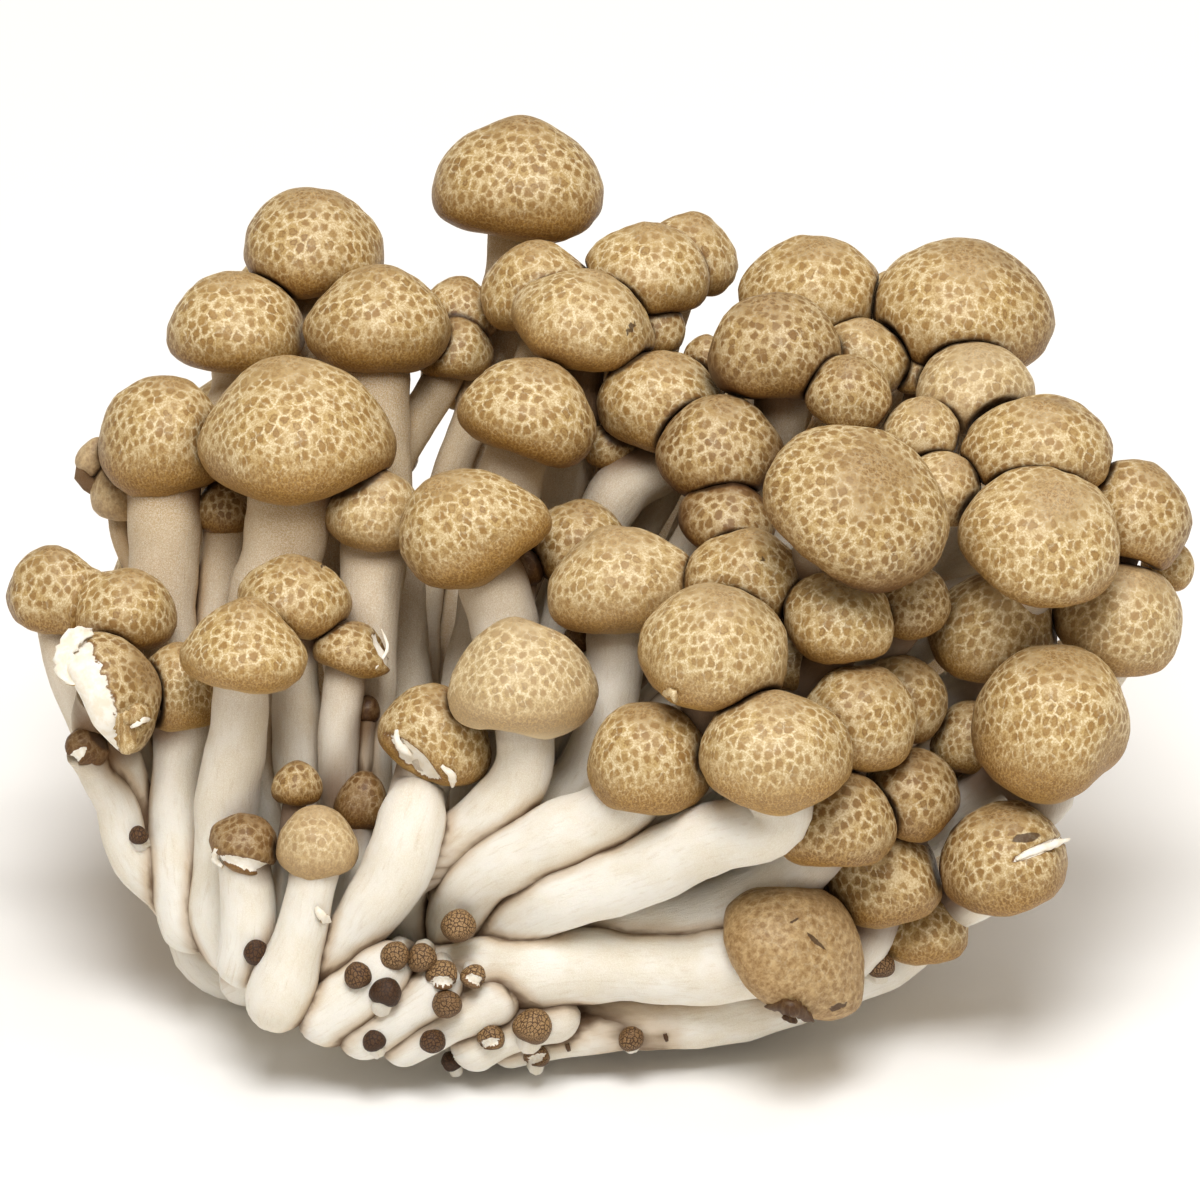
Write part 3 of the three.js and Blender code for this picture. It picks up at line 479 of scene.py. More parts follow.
def speckle_group():
    """Watery rounded spots in a paler net, which get small and dense towards the rim."""
    group, given, out = new_group(
        "mushroom_speckle",
        [("Skin", "NodeSocketVector", None), ("Chart", "NodeSocketVector", None),
         ("Ring", "NodeSocketFloat", 0.5), ("Spot Size", "NodeSocketFloat", 1.0)],
        [("Spot", "NodeSocketFloat"), ("Net", "NodeSocketFloat"), ("Edge", "NodeSocketFloat"),
         ("Grain", "NodeSocketFloat"), ("Cloud", "NodeSocketFloat")],
    )
    w = Wires(group)
    skin, chart, ring, size = (given.outputs[label] for label in ("Skin", "Chart", "Ring", "Spot Size"))
    bend = w.vector("SUBTRACT", w.noise(skin, 1.2, 3.0, 0.55, colour=True), (0.5, 0.5, 0.5))
    bent = w.vector("ADD", chart, w.vector("SCALE", bend, scale=0.9))
    cloud = w.noise(skin, 0.3, 2.0)
    rough = w.times(w.minus(w.noise(skin, 3.2, 3.0, 0.6), 0.5), 0.3)

    def spots(scale):
        """Spots, the net between them and their dark edges, `scale` of them for each mm."""
        cell = w.cells(bent, scale, "F1", 0.85, "2D")
        edge = w.cells(bent, scale, "DISTANCE_TO_EDGE", 0.85, "2D").outputs["Distance"]
        parts = w.tree.nodes.new("ShaderNodeSeparateColor")
        w.set(parts.inputs[0], cell.outputs["Color"])
        far = w.plus(w.plus(cell.outputs["Distance"], rough), w.times(parts.outputs[0], 0.16))
        spot = w.times(w.ramp(far, 0.22, 0.5, 1.0, 0.0), w.plus(w.times(parts.outputs[1], 0.6), 0.4))
        rim = w.times(w.ramp(far, 0.26, 0.36), w.ramp(far, 0.36, 0.5, 1.0, 0.0))
        net = w.ramp(w.plus(edge, rough), 0.0, 0.2, 1.0, 0.0)
        return spot, net, rim

    big = spots(w.math("DIVIDE", 1.0, size))
    small = spots(w.math("DIVIDE", 1.8, size))
    rim = w.ramp(w.plus(ring, w.times(cloud, 0.5)), 1.0, 1.5)
    disc = w.ramp(w.plus(ring, w.times(cloud, 0.5)), 0.3, 0.62, 0.9, 0.0)
    fine = w.math("MAXIMUM", rim, disc)
    fade = w.ramp(ring, 1.0, 1.8, 1.0, 0.35)
    for label, first, second in zip(("Spot", "Net", "Edge"), big, small):
        mixed = w.plus(w.times(first, w.minus(1.0, fine)), w.times(second, fine))
        w.set(out.inputs[label], w.times(mixed, fade))
    w.set(out.inputs["Grain"], w.noise(skin, 5.0, 3.0, 0.65))
    w.set(out.inputs["Cloud"], cloud)
    return group


def fibre_group():
    """Fine lengthwise fibres: `Fibre` runs round the stem in x and y and along it in z, in mm."""
    group, given, out = new_group(
        "flesh_fibre",
        [("Fibre", "NodeSocketVector", None), ("Fineness", "NodeSocketFloat", 1.0)],
        [("Strand", "NodeSocketFloat"), ("Patch", "NodeSocketFloat"), ("Fuzz", "NodeSocketFloat")],
    )
    w = Wires(group)
    fibre, fineness = given.outputs["Fibre"], given.outputs["Fineness"]
    drawn = w.vector("MULTIPLY", fibre, (1.0, 1.0, 0.14))
    strand = w.noise(drawn, w.times(fineness, 3.2), 4.0, 0.62)
    w.set(out.inputs["Strand"], strand)
    w.set(out.inputs["Patch"], w.noise(w.vector("MULTIPLY", fibre, (1.0, 1.0, 0.5)), 0.28, 3.0, 0.55))
    w.set(out.inputs["Fuzz"], w.noise(w.vector("MULTIPLY", fibre, (1.0, 1.0, 0.7)), 12.0, 3.0, 0.7))
    return group


speckle = speckle_group()
fibres = fibre_group()

# ---- materials ----------------------------------------------------------------------------

SKIN_ROUGH, TORN_ROUGHER = 0.5, 0.25
FLESH_TINT = (1.0, 0.72, 0.45)        # how far red, green and blue go through the flesh
SPOT_SIZE = 1.08
GILLS = 84                # gills under a cap
FOOT_CELLS, FOOT_CLOUDS, FOOT_GRAIN = 230.0, 120.0, 900.0     # for each metre
BUTTON = 2.0              # how plain the skin of a pin-sized button is: tan with dark cracks


def place_group(tree, group, **values):
    """A group placed in a material, with its own values for the group's inputs."""
    node = tree.nodes.new("ShaderNodeGroup")
    node.node_tree = group
    wires = Wires(tree)
    for label, value in values.items():
        wires.set(node.inputs[label.replace("_", " ")], value)
    return node


def new_material(name, roughness, specular, subsurface, depth, tint):
    """A material with its shader, soft light carried `depth` metres through it."""
    material = bpy.data.materials.new(name)
    material.use_nodes = True
    shader = material.node_tree.nodes["Principled BSDF"]
    shader.inputs["Roughness"].default_value = roughness
    shader.inputs["Specular IOR Level"].default_value = specular
    shader.inputs["Subsurface Weight"].default_value = subsurface
    shader.inputs["Subsurface Radius"].default_value = tint
    shader.inputs["Subsurface Scale"].default_value = depth
    return material, shader, Wires(material.node_tree)


def bump(w, shader, height, strength, distance):
    """Fine relief of a skin, `distance` metres high."""
    node = w.tree.nodes.new("ShaderNodeBump")
    node.inputs["Strength"].default_value = strength
    node.inputs["Distance"].default_value = distance
    w.set(node.inputs["Height"], height)
    w.set(shader.inputs["Normal"], node.outputs["Normal"])


def golden_skin(w, skin, ring, spot, net, edge, grain, cloud):
    """Golden skin with darker spots and a pale net, which widens in places over the upper part."""
    # below the widest ring the skin darkens to gold and brown: partly the margin's own colour, partly painted
    # shade on the skirt's downward side
    rim = w.ramp(w.plus(ring, w.times(cloud, 0.4)), 0.9, 1.5)
    skirt_colour_and_painted_shade = w.mix(w.ramp(grain, 0.38, 0.64), RIM_GOLD, RIM_BROWN)
    colour = w.mix(w.ramp(grain, 0.36, 0.66), SKIN_STRAW, SKIN_TAN)
    colour = w.mix(w.times(rim, 0.85), colour, skirt_colour_and_painted_shade)
    blotch = w.noise(skin, 0.55, 2.0)
    pale = w.times(w.ramp(blotch, 0.42, 0.66), w.ramp(rim, 0.0, 1.0, 0.5, 0.0))
    pale = w.times(pale, w.ramp(spot, 0.1, 0.5, 1.0, 0.0))
    netting = w.times(net, w.ramp(rim, 0.0, 1.0, 0.9, 0.15))
    netting = w.times(netting, w.ramp(w.noise(skin, 0.9, 2.0), 0.32, 0.56, 0.25, 1.0))
    colour = w.mix(w.math("MAXIMUM", pale, netting), colour,
                   w.mix(w.ramp(grain, 0.42, 0.62), NET_CREAM, NET_SAND))
    colour = w.mix(w.times(spot, 0.76), colour, SPOT_BROWN)
    colour = w.mix(w.times(edge, w.ramp(blotch, 0.35, 0.6, 0.6, 0.1)), colour, SPOT_EDGE)
    return w.mix(w.ramp(ring, 1.6, 1.95, 0.0, 0.5), colour, LIP_TAN)


def mottled(w, colour, ring, grain, cloud):
    """Fine brown mottle over the middle of the cap."""
    middle = w.ramp(w.plus(ring, w.times(cloud, 0.5)), 0.3, 0.75, 1.0, 0.0)
    mottle = w.mix(w.ramp(grain, 0.4, 0.62), MOTTLE_BROWN, MOTTLE_TAN)
    return w.mix(w.times(middle, 0.65), colour, mottle)


def plainer(w, colour, skin, ring, plain, net, grain):
    """An even, wrinkled skin where `plain` is 1, and a button's tan one with dark cracks at 2."""
    wrinkles = w.ramp(w.noise(skin, 1.5, 5.0, 0.7), 0.36, 0.64)
    colour = w.mix(plain, colour, w.mix(wrinkles, WRINKLE_TAN, WRINKLE_BROWN))
    scales = w.mix(w.ramp(grain, 0.38, 0.62), SCALE_TAN, SCALE_BROWN)
    cracks = w.math("MAXIMUM", w.ramp(net, 0.05, 0.6, 0.0, 0.95), w.ramp(ring, 0.8, 1.5, 0.0, 0.7))
    return w.mix(w.ramp(plain, 1.0, BUTTON), colour, w.mix(cracks, scales, CRACK_BROWN))


def toned(w, colour, tone, spot):
    """Each cap a little darker or paler, the net least except on the darkest."""
    # tone holds each cap's own tone and, at the edges of caps, painted shade and painted light
    held = w.ramp(tone, 0.3, 0.9, 0.5, 0.95)
    spotted = w.times(w.ramp(spot, 0.0, 0.5), w.minus(1.0, held))
    share = w.plus(held, spotted)
    dark = w.times(w.ramp(tone, 0.0, 1.0, smooth=False), share)
    colour = w.mix(dark, colour, SHADE_BROWN, "MULTIPLY")
    colour = w.mix(w.ramp(tone, 0.7, 1.2, 0.0, 0.55), colour, DARKEST_BROWN)
    light = w.ramp(tone, 0.0, -1.0, 0.0, 0.6, smooth=False)
    return w.mix(light, colour, PALEST_TAN)


def bruise_and_painted_crevice_shade(w, colour, touch, spot):
    """Bruised brown with painted shade where caps touch, and a painted shadow, darkest in the crevice between
    them.
    """
    pressed = w.times(touch, w.ramp(spot, 0.0, 0.6, 0.55, 0.85))
    colour = w.mix(pressed, colour, PRESSED_BROWN_AND_PAINTED_SHADE)
    return w.mix(w.ramp(touch, 0.55, 0.95, 0.0, 0.8), colour, CREVICE_PAINTED_SHADOW)


def cap_skin():
    """The speckled skin of a cap, with its bruising and painted shade where caps touch, its tears and dark
    marks.
    """
    material, shader, w = new_material("cap_skin", SKIN_ROUGH, specular=0.35, subsurface=0.0,
                                       depth=0.0008, tint=(1.0, 0.55, 0.25))
    skin = w.spot("skin")
    ring, tone, torn, mark, touch, plain = (
        w.fac(name) for name in ("ring", "tone", "torn", "mark", "touch", "plain"))
    chart = w.spot("chart")
    marks = place_group(w.tree, speckle, Skin=skin, Chart=chart, Ring=ring, Spot_Size=SPOT_SIZE)
    spot, net, edge, grain, cloud = (
        marks.outputs[label] for label in ("Spot", "Net", "Edge", "Grain", "Cloud"))
    colour = golden_skin(w, skin, ring, spot, net, edge, grain, cloud)
    colour = mottled(w, colour, ring, grain, cloud)
    colour = plainer(w, colour, skin, ring, plain, net, grain)
    colour = toned(w, colour, tone, spot)
    # painted shade and bruising where caps touch
    colour = bruise_and_painted_crevice_shade(w, colour, touch, spot)
    # ragged tears down to the white flesh, and dark marks
    ragged = w.times(w.minus(w.noise(skin, 0.9, 3.0, 0.55), 0.5), 0.7)
    tear = w.plus(torn, ragged)
    open_flesh = w.ramp(tear, 0.94, 1.0, 1.0, 0.0)
    colour = w.mix(w.ramp(tear, 1.0, 1.16, 0.7, 0.0), colour, CURL_BROWN)
    flesh = w.mix(w.ramp(w.noise(skin, 0.7, 4.0, 0.6), 0.35, 0.65), TORN_WHITE, TORN_CREAM)
    colour = w.mix(open_flesh, colour, flesh)
    speck = w.ramp(w.plus(mark, ragged), 0.85, 1.05, 0.85, 0.0)
    w.set(shader.inputs["Base Color"], w.mix(speck, colour, MARK_BROWN))
    w.set(shader.inputs["Roughness"], w.plus(SKIN_ROUGH, w.times(open_flesh, TORN_ROUGHER)))
    wrinkling = w.times(w.noise(skin, 1.8, 3.0, 0.65), w.plus(1.0, plain))
    sunk = w.times(w.math("MAXIMUM", open_flesh, speck), 3.0)
    bump(w, shader, w.minus(wrinkling, sunk), strength=0.45, distance=0.00012)
    return material


def gill_flesh():
    """The underside of a cap, with a dark line between one gill and the next."""
    material, shader, w = new_material("gill_flesh", 0.7, specular=0.2, subsurface=0.2,
                                       depth=0.001, tint=(1.0, 0.75, 0.5))
    spokes = w.tree.nodes.new("ShaderNodeSeparateXYZ")
    w.set(spokes.inputs[0], w.spot("under"))
    around = w.math("ARCTAN2", spokes.outputs[1], spokes.outputs[0])
    gill = w.math("SINE", w.times(around, GILLS))
    cloud = w.noise(w.spot("skin"), 0.6, 3.0)
    colour = w.mix(w.ramp(cloud, 0.3, 0.7), GILL_CREAM, GILL_SAND)
    colour = w.mix(w.ramp(gill, -1.0, 0.4, 0.7, 0.0), colour, GILL_GAP)
    w.set(shader.inputs["Base Color"], colour)
    bump(w, shader, gill, strength=0.8, distance=0.0001)
    return material


def stem_flesh():
    """White fibrous flesh, which turns tan towards the cap, partly as painted shade under it, and is given
    painted shade deep in the clump, between stems and where caps shut it in.
    """
    material, shader, w = new_material("stem_flesh", 0.66, specular=0.2, subsurface=0.12,
                                       depth=0.0012, tint=FLESH_TINT)
    fibre = w.spot("fibre")
    along, tan = w.fac("along"), w.fac("tan")
    grain = place_group(w.tree, fibres, Fibre=fibre, Fineness=1.0)
    strand, patch, fuzz = (grain.outputs[label] for label in ("Strand", "Patch", "Fuzz"))
    colour = w.mix(w.ramp(patch, 0.35, 0.68), STEM_WHITE, STEM_CREAM)
    browned = w.mix(w.ramp(patch, 0.3, 0.7), STEM_TAN, STEM_BROWN)
    colour = w.mix(tan, colour, browned)
    # darker just under the cap: partly the flesh's own tan, partly painted shade that the cap casts
    under_cap_tan_and_shade = w.ramp(w.plus(along, w.times(patch, 6.0)), 2.0, 12.0, 1.0, 0.0)
    under_cap_tan_and_shade = w.times(under_cap_tan_and_shade, w.plus(w.times(tan, 0.6), 0.12))
    colour = w.mix(under_cap_tan_and_shade, colour, NECK_BROWN_AND_PAINTED_SHADE)
    colour = w.mix(w.ramp(strand, 0.5, 0.75, 0.0, 0.3), colour, STRAND_TAN)
    colour = w.mix(w.ramp(fuzz, 0.42, 0.62, 0.0, 0.45), colour, FUZZ_WHITE)
    # painted shade, tan to brown, where stems lie against each other
    crowd = w.plus(w.fac("crowd"), w.times(w.minus(patch, 0.5), 0.5))
    colour = w.mix(w.ramp(crowd, 0.3, 0.95, 0.0, 0.55), colour, CROWD_PAINTED_SHADE_TAN)
    colour = w.mix(w.ramp(crowd, 0.78, 1.05, 0.0, 0.85), colour, CROWD_PAINTED_SHADE_BROWN)
    # and painted shade, brown, where caps shut them in
    colour = w.mix(w.ramp(w.fac("shut"), 0.75, 1.9, 0.0, 0.85), colour, SHUT_IN_PAINTED_SHADE)
    w.set(shader.inputs["Base Color"], colour)
    height = w.plus(w.times(strand, 0.6), w.times(fuzz, 0.6))
    bump(w, shader, height, strength=0.7, distance=0.00028)
    return material


def foot_flesh():
    """The flesh of the foot, with the seams between the stems that have grown into it."""
    material, shader, w = new_material("foot_flesh", 0.75, specular=0.2, subsurface=0.2,
                                       depth=0.0015, tint=FLESH_TINT)
    at = w.tree.nodes.new("ShaderNodeTexCoord").outputs["Object"]
    ends = w.cells(at, FOOT_CELLS, "DISTANCE_TO_EDGE", 0.9)
    seam = w.ramp(ends.outputs["Distance"], 0.0, 0.07, 1.0, 0.0)
    cloud = w.noise(at, FOOT_CLOUDS, 4.0)
    colour = w.mix(w.ramp(cloud, 0.35, 0.7), FOOT_WHITE, FOOT_SAND)
    colour = w.mix(w.times(seam, 0.55), colour, SEAM_TAN)
    w.set(shader.inputs["Base Color"], colour)
    height = w.minus(w.noise(at, FOOT_GRAIN, 4.0), w.times(seam, 0.6))
    bump(w, shader, height, strength=0.6, distance=0.0003)
    return material


skin_material = cap_skin()
gill_material = gill_flesh()
stem_material = stem_flesh()
foot_material = foot_flesh()

# ---- caps ---------------------------------------------------------------------------------

# How finely a cap is made: sides round it, and steps over its crown, skirt and underside.
FINE, COARSE = (64, 20, 12, 8), (36, 12, 8, 5)
LIP_SHARE = 0.62          # radius of the rolled-in lip, for each radius of the cap
INNER_STEM, INNER_LIP = 0.6, 0.5      # the underside ends at the smaller share of stem and lip
ROLL_SPEED = 2.2          # how soon the underside rises from the lip,
ROLL_RISE = 0.5           # and how far, for each height of the skirt
SKIRT_POWER = 2.6         # how full the cap is below its widest ring; 2 is an ellipse
CROWN_POWER_LEAST, CROWN_POWER_MORE = 1.62, 0.3     # where it isn't given for a cap
FORM_WIDE, FORM_DEEP = 1.01, 1.15     # how much wider and deeper a neighbour is taken to be
NEIGHBOUR_REACH = 1.1     # radii of both caps, and 1 mm, within which a cap is a neighbour
PRESS_SOFTNESS = 0.06     # how softly a pressed cap bends round its neighbour
PRESS_TO = 1.6            # how far out of the neighbour's form the bend reaches; 1 is its skin
PRESS_LEAST = 0.2         # deepest place that the bend reckons with
APEX_FLAT = 0.2           # how much of its unevenness the apex keeps
CHART_SQUEEZE = 0.85      # how much the spots are drawn out from the middle of a cap to its rim
# the darkening near a neighbour is painted shade, with some bruising
TOUCH_REACH = 0.9         # mm from a neighbour over which the skin is darkened
NEARNESS_POWER = 1.5      # how sharply a darkening ends
SKIN_SHIFT = 40           # mm by which one cap's pattern may lie off another's
SHIFT_SEED = 5            # added to a cap's seed for that draw

# How uneven a grown cap is, for each of its radii or skirt heights.
OVAL, THREE_SIDED = 0.045, 0.018
SKIRT_WAVES = (0.10, 0.06)
WAVE_FROM, WAVE_OVER = 0.6, 1.4       # where on the outline they begin, and over how much they grow
APEX_SLIDE = 0.07
SWELLS = ((6, 0.022, 0.9), (8, 0.006, 0.3))         # waves, how high, how long
RIPPLE_SPREAD = (0.7, 1.4)            # shortest and longest wave, for each mean length

FUSED = {"cap_bf", "young_11"}        # two caps grown into one
FUSE_REACH = 3.2          # mm from the crease over which their skins run together
FUSE_SWELL = 1.2          # mm by which the crease is filled

# How full a cap is above its widest ring; 2 is an ellipse, less is a pointed dome.
CROWN_POWERS = {
    "cap_a": 1.62, "cap_b": 1.8, "cap_c": 1.75, "cap_d": 1.62, "cap_e": 1.65, "cap_f": 1.8, "cap_n": 1.9,
    "cap_m": 1.8, "cap_ab": 2.0, "cap_w": 1.9, "cap_z": 2.1, "cap_ah": 1.9, "cap_ao": 2.05, "cap_an": 1.85,
    "cap_ba": 1.68, "cap_bd": 1.45, "cap_x": 2.0, "cap_ac": 1.8, "cap_aw": 1.85, "cap_bb": 1.9,
}


def crown_power(cap, seed):
    """How full a cap is: given for the ones that stand out, drawn for the rest."""
    drawn = CROWN_POWER_LEAST + CROWN_POWER_MORE * np.random.RandomState(seed).rand()
    return CROWN_POWERS.get(cap.name, drawn)


def meridian(cap, crown_steps, skirt_steps, under_steps):
    """A cap's outline from its apex round the lip to the stem: radius, height, ring, under."""
    rows = []
    for i in range(crown_steps):
        angle = math.pi / 2 * i / crown_steps
        rows.append((cap.radius * math.sin(angle) ** (2 / cap.power),
                     cap.crown * math.cos(angle) ** (2 / cap.power), angle / (math.pi / 2), 0))
    last = math.acos(LIP_SHARE ** (SKIRT_POWER / 2))
    for i in range(skirt_steps + 1):
        angle = last * i / skirt_steps
        sunk = (math.sin(angle) / math.sin(last)) ** (2 / SKIRT_POWER)
        rows.append((cap.radius * math.cos(angle) ** (2 / SKIRT_POWER), -cap.skirt * sunk,
                     1 + i / skirt_steps, 0))
    lip = cap.radius * LIP_SHARE
    inner = min(cap.stem_radius * INNER_STEM, lip * INNER_LIP)
    for i in range(1, under_steps + 1):
        share = i / under_steps
        rolled = math.sin(min(share * ROLL_SPEED, 1) * math.pi / 2)
        rows.append((lip + (inner - lip) * share, -cap.skirt * (1 - ROLL_RISE * rolled), 2.0 + share, 1))
    return np.array(rows)


def ripple(points, seed, waves, size, length):
    """A smooth, seeded swell over points in mm, the sum of a few plane waves."""
    draw = np.random.RandomState(seed)
    total = np.zeros(len(points))
    for _ in range(waves):
        way = draw.normal(size=3)
        way *= 2 * math.pi / (length * draw.uniform(*RIPPLE_SPREAD)) / np.linalg.norm(way)
        total += np.sin(points @ way + draw.uniform(0, 2 * math.pi))
    return total * size / math.sqrt(waves)


def cap_points(cap, seed, sides, rows):
    """A cap's points in its own frame, with the small unevenness of a grown one."""
    draw = np.random.RandomState(seed)
    turn = np.linspace(0, 2 * math.pi, sides, endpoint=False)
    radius = rows[:, 0][:, None] * np.ones(sides)
    height = rows[:, 1][:, None] * np.ones(sides)
    oval = draw.uniform(0.0, OVAL)
    phase = draw.uniform(0, 2 * math.pi, 4)
    radius = radius * (1 + oval * np.cos(2 * turn + phase[0]) + THREE_SIDED * np.cos(3 * turn + phase[1]))
    wave = SKIRT_WAVES[0] * np.cos(2 * turn + phase[2]) + SKIRT_WAVES[1] * np.cos(3 * turn + phase[3])
    drop = np.clip(rows[:, 2] - WAVE_FROM, 0, WAVE_OVER)[:, None] / WAVE_OVER
    height = height + cap.skirt * wave * drop
    lift = (rows[:, 1] / cap.crown).clip(0, 1)[:, None]
    slide = cap.radius * APEX_SLIDE * draw.normal(size=2)
    x = radius * np.cos(turn) + slide[0] * lift
    y = radius * np.sin(turn) + slide[1] * lift
    points = np.stack([x, y, height], axis=-1).reshape(-1, 3)
    out = points / np.maximum(np.linalg.norm(points, axis=1), 1e-6)[:, None]
    for i, (waves, high, long) in enumerate(SWELLS):
        swell = ripple(points, seed + 1 + i, waves, cap.radius * high, cap.radius * long)
        points = points + out * swell[:, None]
    return points


def depth_in(other, points):
    """How deep points lie in a cap's form: 1 on its skin, less inside; with their local places."""
    spot = other.local(points)
    flat = np.hypot(spot[:, 0], spot[:, 1]) / (other.radius * FORM_WIDE)
    above = spot[:, 2] > 0
    tall = np.abs(spot[:, 2]) / np.where(above, other.crown, other.skirt * FORM_DEEP)
    power = np.where(above, other.power, SKIRT_POWER)
    return (flat ** power + tall ** power) ** (1 / power), spot


def nearness(gap, reach):
    """1 where there is no gap, and less over `reach` mm."""
    return np.exp(-(gap.clip(0) / reach) ** NEARNESS_POWER)


def press(points, cap, others):
    """Dents a cap where a neighbour that stands further out pushes into it, and marks the touch."""
    touch = np.zeros(len(points))
    for other in others:
        reach = (other.radius + cap.radius) * NEIGHBOUR_REACH + 1
        if other is cap or np.linalg.norm(other.centre - cap.centre) > reach:
            continue
        fused = {cap.name, other.name} == FUSED
        if other.centre[1] <= cap.centre[1] and not fused:
            depth, spot = depth_in(other, points)
            held = 1 + PRESS_SOFTNESS * np.log1p(np.exp(((depth - 1) / PRESS_SOFTNESS).clip(-50, 50)))
            scale = np.where(depth < PRESS_TO, held / np.maximum(depth, PRESS_LEAST), 1.0)
            points = points + ((spot * scale[:, None]) - spot) @ other.turn.T
        if fused:
            depth, _ = depth_in(other, points)
            swell = FUSE_SWELL * (1 - np.abs((depth - 1) * other.radius) / FUSE_REACH).clip(0, 1) ** 2
            way = sum((points - each.centre) / np.linalg.norm(points - each.centre, axis=1)[:, None]
                      for each in (cap, other))
            points = points + way * (swell / np.linalg.norm(way, axis=1))[:, None]
            continue
        depth, _ = depth_in(other, points)
        touch = np.maximum(touch, nearness((depth - 1) * other.radius, TOUCH_REACH))
    return points, touch


# Where a cap is drawn out of its round form: a spot on the showing side, reach, push in mm.
LUMPS = {
    "cap_ac": [((59.6, 61.6, 3), 4.0, (0.9, -0.9, 0.0)), ((47.4, 63.4, 0), 4.0, (0.2, 0.9, 0.0))],
    "cap_az": [((68.2, 49.6, 10), 3.4, (1.3, 0.2, 0.0)), ((56.2, 47.0, 10), 4.0, (-0.4, -0.5, 0.0))],
    "cap_aw": [((53.6, 54.0, 7), 3.6, (0.8, 0.3, 0.0))],
    "cap_av": [((84.0, 6.6, 10), 3.4, (1.5, -0.3, 0.0)), ((86.4, 12.0, 9), 3.0, (0.5, 0.2, 0.0))],
    "cap_e": [((38.6, 64.0, 0), 4.5, (0.3, -0.6, 0.0))],
    "cap_bd": [((25.0, 46.6, 11), 3.0, (0.1, 0.7, 0.0))],
    "cap_o": [((72.4, 76.0, 1), 3.4, (-0.7, 0.5, 0.0))],
    "cap_ab": [((79.0, 50.6, 19), 4.5, (1.9, 1.8, 0.0))],
    "cap_w": [((99.4, 49.6, 14), 3.4, (1.3, 1.7, 0.0))],
    "cap_aa": [((100.5, 47.6, 5), 5.0, (0.3, 1.2, 3.2))],
    "cap_x": [((112.0, 61.6, 3), 3.0, (-0.5, 0.7, 0.0))],
    "cap_z": [((111.4, 29.8, 13), 4.0, (-0.9, 0.6, 0.0))],
    "cap_as": [((106.0, 20.6, 11), 3.0, (-0.3, 0.2, 0.5)), ((101.4, 14.8, 11), 2.6, (0.2, -0.7, 0.0))],
    "cap_bb": [((40.0, 29.4, 12), 3.2, (1.1, 1.5, -0.6))],
    "cap_bh": [((7.2, 35.6, 6), 3.6, (2.2, 0.9, -0.6))],
    "young_15": [((38.6, 40.6, 6), 2.2, (0.9, -0.6, 0.0))],
}

# Where a cap's skin is torn off its white flesh: u, v, half length, half width, turn in degrees.
TORN = {
    "cap_bb": [(41.4, 30.9, 3.6, 0.9, -42)],
    "cap_bh": [(8.6, 37.6, 8.0, 2.5, -70)],
    "cap_bp": [(25.2, 20.2, 3.9, 0.6, -14)],
    "cap_as": [(104.2, 22.0, 3.6, 0.5, 22)],
    "young_15": [(38.5, 41.5, 2.2, 0.45, -62)],
    "young_20": [(7.6, 31.0, 1.6, 0.6, 40)],
    "pin_5": [(44.3, 8.6, 1.4, 0.6, 0)],
    "pin_6": [(47.6, 8.8, 1.2, 0.6, -20)],
    "pin_9": [(49.0, 2.5, 1.2, 0.5, 10)],
    "pin_11": [(53.6, 0.9, 1.1, 0.5, 20)],
}

# Dark marks on caps, measured the same way.
MARKS = {
    "cap_j": [(63.1, 73.9, 0.9, 0.4, 60)],
    "cap_ag": [(76.2, 50.8, 0.4, 0.3, 0)],
    "cap_av": [(81.6, 12.7, 1.6, 0.3, -35), (83.8, 6.2, 1.2, 0.35, 20), (79.2, 14.8, 1.1, 0.2, 10)],
    "cap_bc": [(32.4, 50.2, 0.5, 0.2, 40)],
    "cap_as": [(102.5, 23.0, 1.5, 0.5, 10)],
}

# Painted shade at the edge of a cap, where its skin turns away from the front, over some of the rim's own
# darker colour;
# where the change is below nought it is painted light. The direction on the showing side, in degrees from the
# right, and the change of tone.
EDGE_PAINTED_SHADES = {
    "cap_a": [(250, 0.3), (20, 0.15)], "cap_b": [(200, 0.35)], "cap_c": [(215, 0.45)],
    "cap_d": [(200, 0.35), (275, 0.3)], "cap_e": [(225, 0.3), (320, 0.5)], "cap_f": [(200, 0.45)],
    "cap_j": [(290, 0.35)], "cap_m": [(180, 0.3)], "cap_n": [(10, 0.4), (60, 0.3), (290, 0.3)],
    "cap_o": [(225, 0.9), (300, 0.7)], "cap_p": [(0, 0.3)], "cap_q": [(215, 0.4)],
    "cap_v": [(30, 0.5), (200, 0.4)], "cap_w": [(235, 0.8), (290, 0.4)], "cap_x": [(350, 0.4)],
    "cap_y": [(300, 0.3)], "cap_z": [(180, 0.5), (250, 0.5), (320, 0.3)],
    "cap_aa": [(180, 0.4)], "cap_ab": [(225, 1.0), (290, 0.7)], "cap_ac": [(315, 0.6), (250, 0.3)],
    "cap_ad": [(215, 0.4)], "cap_ae": [(330, 0.9), (265, 0.7), (180, 0.4)],
    "cap_af": [(190, 0.6), (60, 0.6)], "cap_ag": [(200, 0.6)], "cap_ah": [(225, 0.4)],
    "cap_aj": [(240, 0.4)], "cap_an": [(215, 0.4), (0, 0.4)], "cap_ao": [(240, 0.3)],
    "cap_as": [(215, 0.5)], "cap_aw": [(225, 0.45)], "cap_ba": [(270, -1.0)], "cap_bd": [(270, -0.3)],
    "cap_bf": [(190, 0.4)],
}
EDGE_FROM, EDGE_FULL = 0.94, 0.5     # how far a point's direction turns out of the side there

